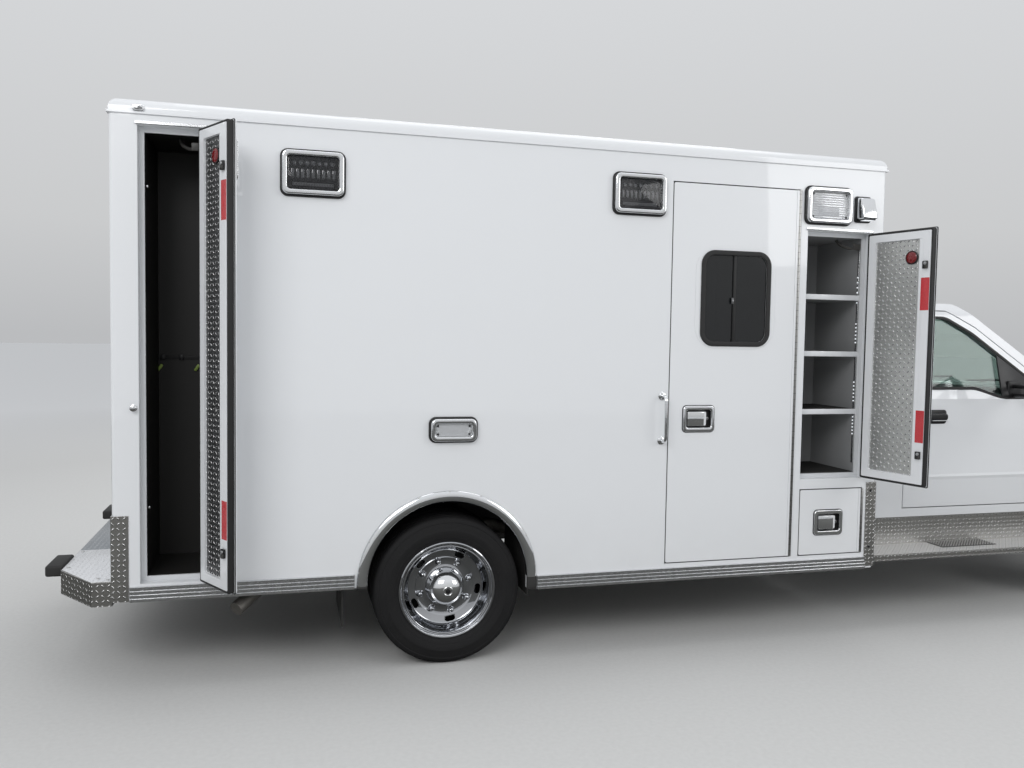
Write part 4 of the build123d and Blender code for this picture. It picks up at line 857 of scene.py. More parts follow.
# Columns: name, place, aimed at, width, height, power in watts
LAMPS = (
    ("key", (-7.0, -9.0, 7.0), (-0.5, 0, 1.2), 6.0, 4.0, 360),
    ("fill", (7.0, -8.0, 5.0), (1.0, 0, 1.2), 5.0, 4.0, 165),
    ("back", (2.0, 9.0, 7.0), (0.0, 0, 1.4), 7.0, 4.0, 300),
    ("top", (0.0, 0.0, 9.0), (0.0, 0.0, 0.0), 8.0, 5.0, 120),
)
for name, place, target, width, height, power in LAMPS:
    light = bpy.data.lights.new(name, "AREA")
    light.shape = "RECTANGLE"
    light.size = width
    light.size_y = height
    light.energy = power
    lamp = in_scene(name, light)
    aim = (Vector(target) - Vector(place)).to_track_quat("-Z", "Y")
    lamp.matrix_world = Matrix.Translation(place) @ aim.to_matrix().to_4x4()
print("lamps:", len(LAMPS))

# %% [markdown]
# ## Tyres
# A truck tyre is a turned form: a bead that grips the rim, a bulging sidewall with a few raised
# rings, a square shoulder, and a tread cut by grooves. Its profile is spun about the axle. The small
# cross cuts in the shoulders are too fine to model, so the rubber's bump makes them.


# %% Tyre rubber with shoulder cuts
SHOULDER_CUTS = 64


def tyre_finish(name, axle_x):
    skin = Finish(name, (0.008, 0.008, 0.009), 0.75, Specular_IOR_Level=0.3)
    x, _, z = skin.axes()
    turn = skin.maths("ARCTAN2", z - WHEEL_CENTRE, x - axle_x)
    around = turn * (SHOULDER_CUTS / math.tau)
    cut = (around - around.floor()).above(0.72)
    across, up = x - axle_x, z - WHEEL_CENTRE
    radius = skin.maths("SQRT", across * across + up * up)
    at_tread = radius.above(0.383)
    rings = skin.node("ShaderNodeMath", {"operation": "SINE"}, {0: radius * 900.0})
    dust = skin.noise(9.0, 5.0)
    skin.set("Base Color", skin.blend(dust * 0.10, (0.008, 0.008, 0.009), (0.08, 0.076, 0.07)))
    skin.set("Roughness", 0.62 + 0.22 * dust)
    fine = skin.bump(skin.noise(240.0, 2.0), 0.0006, 0.4)
    skin.bump(0.12 * rings * (1 - at_tread) - cut * at_tread, 0.004, 0.8, base=fine)
    return skin.material


print("cuts round a shoulder:", SHOULDER_CUTS)

# %% Tyres
TYRE_SIDE = (
    (0.2475, -0.0815), (0.258, -0.0860), (0.268, -0.0900), (0.282, -0.0990), (0.289, -0.1010),
    (0.2905, -0.1040), (0.296, -0.1045), (0.298, -0.1050), (0.312, -0.1105), (0.328, -0.1125),
    (0.332, -0.1125), (0.334, -0.1112), (0.348, -0.1100), (0.364, -0.1050), (0.372, -0.1030),
    (0.374, -0.1050), (0.386, -0.1010), (0.394, -0.0960), (0.4005, -0.0880), (0.4025, -0.0790),
)
TREAD_GROOVES = (-0.052, -0.018, 0.018, 0.052)
GROOVE_HALF = 0.0045
GROOVE_DEPTH = 0.012


def tyre_profile():
    """Half a tyre's section and its mirror image, as (radius, across)."""
    tread_line = []
    for middle in TREAD_GROOVES:
        crown = 0.405 - 0.9 * middle * middle
        tread_line += [
            (crown, middle - GROOVE_HALF - 0.001), (crown - GROOVE_DEPTH, middle - GROOVE_HALF),
            (crown - GROOVE_DEPTH, middle + GROOVE_HALF), (crown, middle + GROOVE_HALF + 0.001),
        ]
    other = [(radius, -across) for radius, across in reversed(TYRE_SIDE)]
    return list(TYRE_SIDE) + tread_line + other


def axle_place(x, y, outward):
    """A place whose z runs out along the axle."""
    return facing((x, y, WHEEL_CENTRE), (0, outward, 0))


# Columns: wheel, axle x, tyre middles from the centreline, outward
WHEELS = (
    ("front_right", station(WHEELBASE), (0.920,), -1),
    ("front_left", station(WHEELBASE), (0.920,), 1),
    ("rear_right", REAR_AXLE, (1.075, 0.815), -1),
    ("rear_left", REAR_AXLE, (1.075, 0.815), 1),
)


def wheel_part(wheel, part):
    """A name such as front_tyre_left or rear_tyres_left: the rear wheels are twins."""
    end, side = wheel.split("_")
    return end + "_" + part + ("s_" if end == "rear" else "_") + side


tyre_skin = {
    "front": tyre_finish("front_tyre_rubber", station(WHEELBASE)),
    "rear": tyre_finish("rear_tyre_rubber", REAR_AXLE),
}
for wheel, axle_x, middles, outward in WHEELS:
    end = wheel.split("_")[0]
    tyres = Piece("tyres_" + wheel)
    for middle in middles:
        ring = turned(tyre_profile() + [TYRE_SIDE[0]], sides=96)
        tyres.add(ring, tyre_skin[end], axle_place(axle_x, outward * middle, outward))
    tyres.finish(wheel_part(wheel, "wheel"), "tyre_rubber", (wheel_part(wheel, "tyre"),), crease=40)

# %% [markdown]
# ## Wheels
# Bright simulators cover the steel wheels: a rolled outer bead, a deep dish with five hand holes,
# eight capped nuts and a domed hub. The dish is a turned shell given a wall. The hand holes are cut
# through it with a boolean, so that the dark wheel well shows behind.

# %% Carving
def carve(shape, cutters):
    """Cuts the cutters out of a shape with a boolean modifier."""
    meshes = []
    for label, source in (("blank", shape), ("cutter", cutters)):
        mesh = bpy.data.meshes.new(label)
        source.to_mesh(mesh)
        source.free()
        meshes.append(mesh)
    blank, cutter = (in_scene(mesh.name, mesh) for mesh in meshes)
    cut = blank.modifiers.new("cut", "BOOLEAN")
    cut.operation = "DIFFERENCE"
    cut.solver = "EXACT"
    cut.object = cutter
    bpy.context.view_layer.update()
    ready = blank.evaluated_get(bpy.context.evaluated_depsgraph_get()).to_mesh()
    result = bmesh.new()
    result.from_mesh(ready)
    for holder in (blank, cutter):
        bpy.data.objects.remove(holder)
    for mesh in meshes:
        bpy.data.meshes.remove(mesh)
    return result


def joined(*shapes):
    """Several shapes as one."""
    whole = bmesh.new()
    for shape in shapes:
        pour(shape, whole)
    return whole


def moved(shape, place):
    """A shape put in its place."""
    bmesh.ops.transform(shape, matrix=place, verts=shape.verts)
    return shape


print("carving tools ready")

# %% Wheel profiles, as (radius, distance out from the tyre's middle)
BEAD_PROFILE = (
    (0.250, 0.078), (0.262, 0.0815), (0.267, 0.086), (0.2685, 0.091), (0.266, 0.0955), (0.260, 0.098),
    (0.254, 0.0965), (0.250, 0.092), (0.2475, 0.087), (0.244, 0.0855), (0.240, 0.0865), (0.237, 0.085),
    (0.235, 0.080), (0.232, 0.074),
)
REAR_DISH = (
    (0.226, 0.052), (0.219, 0.035), (0.215, 0.024), (0.209, 0.015), (0.200, 0.010), (0.168, 0.008),
    (0.162, 0.0055), (0.157, 0.003), (0.113, 0.003), (0.108, 0.005), (0.1055, 0.011),
)
REAR_DOME = (
    (0.1050, 0.004), (0.1035, 0.020), (0.1000, 0.042), (0.0940, 0.062), (0.0850, 0.080), (0.0720, 0.095),
    (0.0550, 0.106), (0.0370, 0.1125), (0.0240, 0.1145),
)
FRONT_DISH = (
    (0.229, 0.058), (0.222, 0.050), (0.213, 0.048), (0.205, 0.052), (0.194, 0.066), (0.186, 0.071),
    (0.176, 0.073), (0.118, 0.073), (0.110, 0.074),
)
FRONT_DOME = (
    (0.1110, 0.073), (0.1060, 0.079), (0.1035, 0.088), (0.1000, 0.103), (0.0940, 0.116), (0.0850, 0.126),
    (0.0720, 0.134), (0.0540, 0.139), (0.0240, 0.141),
)
TWIN_BARREL = (
    (0.238, -0.084), (0.250, -0.091), (0.262, -0.091), (0.262, -0.083), (0.247, -0.083), (0.247, 0.076),
    (0.239, 0.076), (0.238, -0.084),
)
# Columns: the dish, the dome over the hub, how far out the nuts' ring lies
COVERS = {"front": (FRONT_DISH, FRONT_DOME, 0.073), "rear": (REAR_DISH, REAR_DOME, 0.003)}
NUT_CIRCLE = 0.141
NUT_COUNT = 8
HOLE_CIRCLE = 0.187
HOLE_COUNT = 5
HOLE_TURN = -8
print("nuts:", NUT_COUNT, "hand holes:", HOLE_COUNT)


# %% Wheel covers, nuts and barrels
def wheel_cover(dish, nut_face, mirrored=False):
    """The bright cover of one wheel, its hand holes cut; the left side's holes lie opposite."""
    shell = turned(BEAD_PROFILE + dish, sides=120)
    bmesh.ops.solidify(shell, geom=shell.faces[:], thickness=0.0025)
    holes = []
    for number in range(HOLE_COUNT):
        oval = plate(rounded(0.030, 0.058, 0.0149, 8), 0.2, 0)
        turn = turned_by(HOLE_TURN + 180 * mirrored + number * 360 / HOLE_COUNT)
        holes.append(moved(oval, turn @ at(HOLE_CIRCLE, 0, nut_face - 0.1)))
    return carve(shell, joined(*holes))


def capped_nut():
    """A wheel nut under its bright thimble."""
    flange = turned(((0, 0), (0.0185, 0), (0.0185, 0.003), (0.0155, 0.006), (0.0155, 0.008)), 24)
    cap = turned(
        ((0.0150, 0.006), (0.0142, 0.020), (0.0120, 0.026), (0.0070, 0.0285), (0, 0.0290)), 6
    )
    return joined(flange, bevelled(cap, 0.001, 1))


for wheel, axle_x, middles, outward in WHEELS:
    end = wheel.split("_")[0]
    metal = Piece("wheel_" + wheel)
    place = axle_place(axle_x, outward * middles[0], outward)
    dish, dome_profile, nut_face = COVERS[end]
    hub_face = dome_profile[-1][1]
    metal.add(wheel_cover(dish, nut_face, mirrored=outward > 0), dish_chrome_painted_dark, place)
    dome = turned(dome_profile, 96)
    bmesh.ops.solidify(dome, geom=dome.faces[:], thickness=0.002)
    metal.add(dome, bright, place)
    for number in range(NUT_COUNT):
        turn = turned_by(15 + number * 360 / NUT_COUNT)
        metal.add(capped_nut(), dish_chrome_painted_dark, place @ turn @ at(NUT_CIRCLE, 0, nut_face - 0.001))
    hub_cap = turned(
        ((0.026, -0.004), (0.026, 0.001), (0.0235, 0.0025), (0.021, 0.001), (0.020, -0.004), (0, -0.004)), 32
    )
    metal.add(hub_cap, bright, place @ at(0, 0, hub_face))
    metal.add(drum(0.015, 0.008, 0.0012, 6), black_plastic, place @ at(0, 0, hub_face - 0.003))
    for middle in middles:
        barrel = axle_place(axle_x, outward * middle, outward)
        metal.add(turned(TWIN_BARREL, 96), satin_metal, barrel)
        if end == "rear":
            dark_hub = turned(((0, -0.05), (0.098, -0.05), (0.098, 0.05), (0, 0.05)), 48)
            metal.add(dark_hub, black_frame, barrel @ at(0, 0, -0.10 if middle > 1 else -0.045))
    if end == "front":
        back_disc = turned(((0.0, 0.050), (0.205, 0.040), (0.238, 0.030)), 64)
        metal.add(back_disc, satin_metal, place)
    else:
        inner = axle_place(axle_x, outward * middles[1], outward)
        disc_profile = (
            (0.09, 0.081), (0.190, 0.081), (0.239, 0.058), (0.239, 0.054), (0.188, 0.075), (0.09, 0.075),
        )
        metal.add(turned(disc_profile, 64), satin_metal, inner)
    metal.finish(wheel_part(wheel, "wheel"), "bright_chrome", (wheel_part(wheel, "rim"),), crease=30)

# %% [markdown]
# ## Lamps of the box
# Each warning lamp is a black gasket, a bright bezel with a soft edge, a dark board with rows of
# small reflector cups, and a smoked cover held by four screws. Marker and scene lamps have a clear
# cover over a ribbed reflector, and the tail lamps are split into red, amber and clear fields.


# %% Walls that lamps stand on
def side_wall_at(side, along, height, out=0.0):
    """A place on the box's left wall, side 1, or on its right wall, side -1."""
    return facing((station(along), side * (BODY_HALF + out), height), (0, side, 0))


def end_wall_at(way, across, height, out=0.0):
    """A place on the box's front wall, way 1, or on its rear wall, way -1."""
    face = station(BODY_FRONT if way > 0 else BODY_REAR)
    return facing((face + way * out, across, height), (way, 0, 0))


WARNING = (0.305, 0.218, "warning")
# Columns: place along the wall, height, width, tall, kind; each is on both sides of the vehicle
SIDE_LAMPS = (
    (-0.722, 2.596, *WARNING),
    (1.058, 2.598, *WARNING),
    (2.270, 2.600, 0.301, 0.209, "scene"),
    (0.014, 1.288, 0.247, 0.120, "marker"),
)
FRONT_LAMPS = ((0.900, 2.600, *WARNING), (0.300, 2.600, *WARNING))
REAR_LAMPS = (
    (0.845, 2.650, *WARNING),
    (0.900, 1.150, 0.200, 0.300, "tail"),
    (0.300, 2.690, 0.301, 0.160, "scene"),
)
BEZEL_OUT = 0.036
BEZEL_FRAME = 0.025
print("lamps on the box:", 2 * len(SIDE_LAMPS + FRONT_LAMPS + REAR_LAMPS))


# %% What a lamp is made of
def led_rows(piece, place, width, tall):
    """Rows of reflector cups: round above, tall in the middle, a fine strip below."""
    for index in range(7):
        across = (index - 3) * width / 8.2
        cup = turned(((0, 0.002), (0.0045, 0.0025), (0.0105, 0.009), (0.0115, 0.009), (0.0115, 0)), 16)
        piece.add(cup, bright, place @ at(across, 0.29 * tall, 0.008))
        piece.add(drum(0.0035, 0.003, 0, 8), led_chip, place @ at(across, 0.29 * tall, 0.010))
    for index in range(9):
        across = (index - 4) * width / 10.0
        piece.add(slab(0.015, 0.048, 0.006, 0.003, 2), bright, place @ at(across, -0.02 * tall, 0.010))
        piece.add(slab(0.007, 0.034, 0.004, 0, 0), led_chip, place @ at(across, -0.02 * tall, 0.0125))
    piece.add(slab(0.80 * width, 0.016, 0.005, 0.002, 1), satin_metal, place @ at(0, -0.33 * tall, 0.010))
    for index in range(16):
        across = (index - 7.5) * width / 20.0
        piece.add(slab(0.007, 0.008, 0.003, 0, 0), led_chip, place @ at(across, -0.33 * tall, 0.0135))


def ribbed_reflector(piece, place, width, tall, ribs):
    """A bright reflector of fine ribs that lie level."""
    for index in range(ribs):
        up = (index + 0.5 - ribs / 2) * tall / ribs
        piece.add(slab(width, 0.82 * tall / ribs, 0.006, 0.0024, 2), bright, place @ at(0, up, 0.009))


def box_lamp(piece, place, width, tall, kind):
    """One lamp of the box body."""
    inner_width = width - 2 * BEZEL_FRAME
    inner_tall = tall - 2 * BEZEL_FRAME
    piece.add(plate(rounded(width + 0.020, tall + 0.020, 0.039), 0.010, 0.003), seal_rubber, place)
    bezel = hoop(rounded(width, tall, 0.030), rounded(inner_width, inner_tall, 0.016), BEZEL_OUT, 0.0075, 4)
    piece.add(bezel, bright, place)
    well = plate(rounded(inner_width + 0.002, inner_tall + 0.002, 0.016), 0.008)
    piece.add(well, black_plastic, place)
    cover = plate(rounded(inner_width, inner_tall, 0.016), 0.003, 0.0012)
    if kind == "warning":
        led_rows(piece, place, inner_width, inner_tall)
        piece.add(cover, smoked, place @ at(0, 0, 0.0175))
    elif kind == "tail":
        fields = ((red_lens, 1), (amber_lens, 0), (clear_lens, -1))
        for lens, row in fields:
            up = row * inner_tall / 3
            ribbed_reflector(piece, place @ at(0, up), inner_width * 0.96, inner_tall / 3.3, 9)
            piece.add(plate(rounded(inner_width, inner_tall / 3 - 0.003, 0.008), 0.006, 0.002), lens,
                      place @ at(0, up, 0.0145))
    else:
        ribbed_reflector(piece, place, inner_width * 0.97, inner_tall * 0.94, 11)
        if kind == "scene":
            piece.add(slab(0.56 * inner_width, 0.30 * inner_tall, 0.012, 0.003), led_chip,
                      place @ at(0, -0.22 * inner_tall, 0.011))
        piece.add(cover, clear_lens, place @ at(0, 0, 0.0185))
    if kind == "tail":
        return
    for across in (-1, 1):
        for up in (-1, 1):
            corner = at(across * (inner_width / 2 - 0.013), up * (inner_tall / 2 - 0.013), 0.0195)
            piece.add(drum(0.0062, 0.0035, 0.0008, 12), seal_rubber, place @ corner)


print("lamp tools ready")

# %% Lamps in place
lamps = Piece("box_lamps")
for along, height, *lamp in SIDE_LAMPS:
    for side in (-1, 1):
        box_lamp(lamps, side_wall_at(side, along, height), *lamp)
for way, rows in ((1, FRONT_LAMPS), (-1, REAR_LAMPS)):
    for across, height, *lamp in rows:
        for side in (-1, 1):
            box_lamp(lamps, end_wall_at(way, side * across, height), *lamp)
print("faces of the box lamps:", len(lamps.mesh.faces))

# %% [markdown]
# ## Hooded lamps and the grab handle
# A scene lamp under a bright wedge-shaped hood sits by the front corner of each side. Beside the
# entry door stands a grab handle, a bent tube on two round feet.


# %% Hooded lamps
def hooded_lamp(piece, place):
    """A wedge hood on a dark base, open below over its lamp."""
    piece.add(plate(rounded(0.112, 0.156, 0.016), 0.010, 0.003), black_plastic, place)
    hood = slab(0.096, 0.134, 0.082, 0)
    top_edge = [v for v in hood.verts if v.co.y > 0 and v.co.z > 0]
    bmesh.ops.translate(hood, vec=(0, -0.010, -0.034), verts=top_edge)
    piece.add(bevelled(hood, 0.011, 4), bright, place @ at(0, 0.004, 0.010 + 0.041))
    lens = place @ at(0, -0.0650, 0.050) @ turned_by(90, "X")
    piece.add(slab(0.076, 0.060, 0.008, 0.0015), black_plastic, lens)
    piece.add(slab(0.060, 0.044, 0.012, 0.0015), led_white, lens)


def grab_handle(piece, wall, out, reach, heights, radius, foot_profile):
    """A bent tube that stands off a wall at (x, y) by reach, with a round foot at each height."""
    x, y = wall
    low, high = heights
    stem = (x + out[0] * reach, y + out[1] * reach)
    tube = rod(((x, y, high), (*stem, high), (*stem, low), (x, y, low)), radius, 16, smooth_by=0.030)
    piece.add(tube, bright)
    for height in heights:
        piece.add(turned(foot_profile, 32), bright, facing((x, y, height), (*out, 0)))


for side in (-1, 1):
    hooded_lamp(lamps, side_wall_at(side, 2.508, 2.590))
SIDE_FOOT = ((0, 0), (0.024, 0), (0.024, 0.004), (0.020, 0.008), (0.0125, 0.010), (0.011, 0.018))
grab_handle(lamps, (station(1.226), -BODY_HALF), (0, -1), 0.060, (1.210, 1.467), 0.011, SIDE_FOOT)
lamps.finish("chassis", "bright_chrome", ("bright_fittings", "lenses"), crease=30)

# %% [markdown]
# ## Inside the doors
# Seen open, a door is a white folded pan: a sheet of tread plate sits in it, a black rubber seal runs
# round the step behind the outer skin, and the free edge carries two strips of red tape, two latch
# blocks and a red lamp. They are drawn flat on the bench and carried to the door by its matrix.


# %% Door furniture
SEAL_STEP = 0.014
SKIN_FLANGE = 0.012
LATCH_RAIL = 0.026
TAPE_WIDTH = 0.052
TAPE_LENGTH = 0.185


def door_centre(width, sill, head):
    return width / 2, (sill + head) / 2


def inner_sheet(piece, place, width, sill, head, sheet_finish, window=None):
    """The tread plate in a door's pan; z runs inwards from the outer skin as negative."""
    middle, up = door_centre(width, sill, head)
    across = middle - LATCH_RAIL / 2
    sheet_width = width - 2 * DOOR_GAP - 2 * PAN_FRAME - LATCH_RAIL - 0.004
    sheet_tall = head - sill - 2 * DOOR_GAP - 2 * PAN_FRAME - 0.004
    rail_along = width - DOOR_GAP - PAN_FRAME - LATCH_RAIL / 2
    rail = slab(LATCH_RAIL, sheet_tall + 0.003, PAN_DEPTH + 0.0003, 0.0008, 1)
    piece.add(rail, paint, place @ at(rail_along, up, -(DOOR_THICK - PAN_DEPTH / 2)))
    face = place @ at(across, up, -(DOOR_THICK - PAN_DEPTH) - 0.0016)
    sheet = plate(rounded(sheet_width, sheet_tall, 0.012), 0.0015, 0.0004, 1)
    if window:
        window_along, window_up, window_width, window_tall, corner = window
        hole = plate(rounded(window_width + 0.074, window_tall + 0.074, corner + 0.032), 0.2, 0)
        sheet = carve(sheet, moved(hole, at(window_along - across, window_up - up, -0.1)))
    piece.add(sheet, sheet_finish, face)
    rivet_rows = max(2, round(sheet_tall / 0.30) + 1)
    for side in (-1, 1):
        for row in range(rivet_rows):
            up_sheet = (row / (rivet_rows - 1) - 0.5) * (sheet_tall - 0.03)
            spot = (side * (sheet_width / 2 - 0.012), up_sheet)
            head_of_rivet = turned(((0.0038, 0), (0.0030, -0.0014), (0, -0.0020)), 10)
            piece.add(head_of_rivet, stainless, face @ at(*spot, 0))


def edge_seal(piece, place, width, sill, head, stands_open):
    """The rubber that closes the gap behind the door's skin."""
    across, up = door_centre(width, sill, head)
    leaf = (width - 2 * DOOR_GAP, head - sill - 2 * DOOR_GAP)
    outer = rounded(leaf[0] - 0.004, leaf[1] - 0.004, 0.009)
    inner = rounded(leaf[0] - 2 * SEAL_STEP, leaf[1] - 2 * SEAL_STEP, 0.004)
    depth = DOOR_THICK - SKIN_FLANGE - 0.001
    ring = hoop(outer, inner, depth, 0.004, 3)
    piece.add(ring, seal_rubber, place @ at(across, up, -SKIN_FLANGE - depth - 0.0002))
    lip_depth = 0.003 if stands_open else 0.010
    lip_outer = rounded(leaf[0] + 0.009, leaf[1] + 0.009, 0.010)
    lip_inner = rounded(leaf[0] - 0.001, leaf[1] - 0.001, 0.006)
    lip = hoop(lip_outer, lip_inner, lip_depth, 0)
    piece.add(lip, seal_rubber, place @ at(across, up, -SKIN_FLANGE))


print("sheet and seal ready")


# %% Tape, latch block, lamp and hinge
def tape(piece, place, along, low):
    strip = plate(rounded(TAPE_WIDTH, TAPE_LENGTH, 0.002, 2), 0.0006, 0)
    piece.add(strip, red_tape, place @ at(along, low + TAPE_LENGTH / 2, -DOOR_THICK - 0.0006))


def latch_block(piece, place, along, height):
    """A rotary latch: a black body, a jaw and its screw."""
    spot = place @ at(along, height, -DOOR_THICK)
    piece.add(slab(0.030, 0.044, 0.014, 0.003), black_plastic, spot @ at(0, 0, -0.007))
    piece.add(drum(0.009, 0.006, 0.0015, 16), satin_metal, spot @ at(0.004, 0.008, -0.0195))
    piece.add(slab(0.012, 0.020, 0.009, 0.002), black_frame, spot @ at(0.010, -0.010, -0.016))


def door_lamp(piece, place, along, height):
    """A round red lamp that shows on the open door."""
    spot = place @ at(along, height, -(DOOR_THICK - PAN_DEPTH) - 0.0015) @ turned_by(180, "X")
    ring = turned(((0.039, 0), (0.040, 0.004), (0.038, 0.008), (0.034, 0.009), (0.033, 0.004)), 40)
    piece.add(ring, seal_rubber, spot)
    dome = turned(((0.0335, 0.002), (0.0335, 0.007), (0.029, 0.0105), (0.018, 0.0125), (0, 0.0130)), 40)
    piece.add(dome, red_lens, spot)
    for number in range(6):
        bulb = turned_by(60 * number) @ at(0.018, 0, 0.0)
        piece.add(drum(0.006, 0.006, 0.001, 10), bright, spot @ bulb)


def piano_hinge(piece, place, sill, head):
    """A long stainless hinge: a pin with knuckles and its two leaves."""
    low = sill + DOOR_GAP
    tall = head - sill - 2 * DOOR_GAP
    pin = place @ at(0, low, HINGE_OUT) @ turned_by(-90, "X")
    piece.add(drum(0.0049, tall, 0.0006, 14), hinge_steel, pin)
    leaf = slab(0.010, tall, 0.0012, 0.0003, 1)
    piece.add(leaf, hinge_steel, place @ at(0.006, low + tall / 2, 0.0030))


KNUCKLE_LENGTH = 0.038


def hinge_finish():
    """Stainless steel with a fine dark line between neighbouring knuckles."""
    steel = Finish("hinge_steel", (0.45, 0.45, 0.44), 0.3, 1.0)
    up = steel.axes()[2] / KNUCKLE_LENGTH
    knuckle = up - up.floor()
    line = knuckle.above(0.95)
    steel.set("Base Color", steel.blend(line, (0.45, 0.45, 0.44), (0.12, 0.12, 0.12)))
    steel.set("Roughness", 0.24 + 0.12 * steel.noise(30.0, 3.0, (1, 1, 8)))
    steel.bump(1 - line, 0.0010, 0.8)
    return steel.material


hinge_steel = hinge_finish()
print("knuckles per metre of hinge:", round(1 / KNUCKLE_LENGTH))

# %% [markdown]
# ## Paddle latches and the windows
# A paddle latch is a bright dished pan with a paddle to pull. The entry door's window is a black
# frame with wide round corners and two sliding panes of dark glass that meet at an upright.


# %% Latches and windows
def paddle_latch(piece, place, along, height, width, tall, proud=0.0):
    """A dished pan with a paddle and a key barrel; proud lifts it where the skin has no recess."""
    spot = place @ at(along, height, proud)
    outer = rounded(width + 0.002, tall + 0.002, 0.023)
    inner = rounded(width - 0.040, tall - 0.048, 0.013)
    piece.add(hoop(outer, inner, 0.0105, 0.0090, 6), bright, spot)
    gasket_outer = rounded(width + 0.010, tall + 0.010, 0.026)
    gasket = hoop(gasket_outer, rounded(width - 0.030, tall - 0.030, 0.016), 0.0016, 0)
    piece.add(gasket, seal_rubber, spot @ at(0, 0, 0.0001))
    if proud:
        piece.add(plate(outer, proud, 0.001), bright, spot @ at(0, 0, -proud))
    pan_floor = plate(rounded(width - 0.036, tall - 0.044, 0.014), 0.0015, 0)
    piece.add(pan_floor, black_plastic, spot @ at(0, 0, -0.0155 if not proud else 0.0002))
    if not proud:
        wall_outer = rounded(width - 0.0365, tall - 0.0445, 0.014)
        wall = hoop(wall_outer, rounded(width - 0.042, tall - 0.050, 0.012), 0.018, 0)
        piece.add(wall, black_plastic, spot @ at(0, 0, -0.0150))
    paddle = slab(width - 0.098, tall - 0.066, 0.012, 0)
    lip = [v for v in paddle.verts if v.co.x < 0 and v.co.z > 0]
    bmesh.ops.translate(paddle, vec=(-0.004, 0, 0.006), verts=lip)
    piece.add(bevelled(paddle, 0.004, 3), bright, spot @ at(0.021, 0, 0.0 if not proud else 0.007))
    barrel = spot @ at(-width / 2 + 0.036, 0, -0.0140 if not proud else 0.0015)
    piece.add(drum(0.0095, 0.005, 0.001, 20), satin_metal, barrel)
    piece.add(slab(0.0022, 0.009, 0.002, 0, 0), black_plastic, barrel @ at(0, 0, 0.0052))


def sliding_window(piece, place, along, height, width, tall, corner):
    """A painted plate, a black frame, two dark panes and the upright where they meet."""
    spot = place @ at(along, height, 0)
    wide, high, turn = width - 0.030, tall + 0.008, corner - 0.026
    opening = rounded(wide - 0.056, high - 0.056, turn - 0.028, 10)
    surround = hoop(rounded(width + 0.036, tall + 0.036, corner + 0.018), opening, 0.0010, 0)
    piece.add(surround, paint, spot @ at(0, 0, 0.0002))
    frame_ring = hoop(rounded(wide, high, turn, 10), opening, 0.0085, 0.003, 3)
    piece.add(frame_ring, seal_rubber, spot @ at(0, 0, 0.0008))
    collar_outer = rounded(width - 0.001, tall - 0.001, corner)
    collar = hoop(collar_outer, rounded(wide - 0.050, high - 0.050, turn - 0.025), 0.034, 0.001, 1)
    piece.add(collar, seal_rubber, spot @ at(0, 0, -0.0338))
    rear_pane = plate(rounded(wide - 0.044, high - 0.044, turn - 0.022, 10), 0.004, 0.0004, 1)
    piece.add(rear_pane, privacy_glass, spot @ at(0, 0, -0.012))
    front_half = [(min(x, 0.016), y) for x, y in rounded(wide - 0.054, high - 0.054, turn - 0.027, 10)]
    front_pane = plate(front_half, 0.004, 0.0)
    bmesh.ops.remove_doubles(front_pane, verts=front_pane.verts, dist=1e-5)
    piece.add(front_pane, privacy_glass, spot @ at(0, 0, -0.0055))
    piece.add(slab(0.017, high - 0.052, 0.012, 0.002), seal_rubber, spot @ at(0.008, 0, -0.004))
    piece.add(slab(0.014, 0.034, 0.008, 0.003), grey_plastic, spot @ at(0.022, -0.012, 0.004))
    piece.add(slab(0.009, 0.014, 0.008, 0.002), satin_metal, spot @ at(0.024, -0.012, 0.009))


print("latch and window tools ready")

# %% Fitting the doors out
ENTRY_WINDOW = (0.410, 2.032, 0.480, 0.546, 0.110)
REAR_WINDOW = (0.3175, 2.020, 0.400, 0.546, 0.110)
LYING = (0.196, 0.150)
UPRIGHT = (0.150, 0.196)
# Columns: door, latch (along, height, width, tall) or None, window or None, window's node
FURNITURE = {
    "entry_door": ((0.629, 1.334, *LYING), ENTRY_WINDOW, "entry_window"),
    "right_lower_door": ((0.236, 0.693, *LYING), None, None),
    "rear_door_right": ((0.525, 1.380, *UPRIGHT), REAR_WINDOW, "rear_window_right"),
    "rear_door_left": (None, REAR_WINDOW, "rear_window_left"),
}
# Columns: door, place (along, height) of an upright latch that stands on its skin
SURFACE_LATCHES = {
    "right_rear_door": (0.212, 2.595), "right_front_door": (0.330, 1.700),
    "left_front_door": (0.330, 1.400), "left_middle_door": (0.550, 1.150),
    "left_rear_door": (0.576, 1.300), "rear_door_left": (0.525, 1.380),
}
# The two open doors' sheets are one tread plate; their grounds differ as painted reflection: near black on the
# rear door, pale on the front door
rear_plate_painted_dark = tread_plate("rear_door_plate_painted_dark", 300, between=(0.16, 0.16, 0.16))
front_plate_painted_light = tread_plate("front_door_plate_painted_light", 286, between=(0.62, 0.62, 0.60))
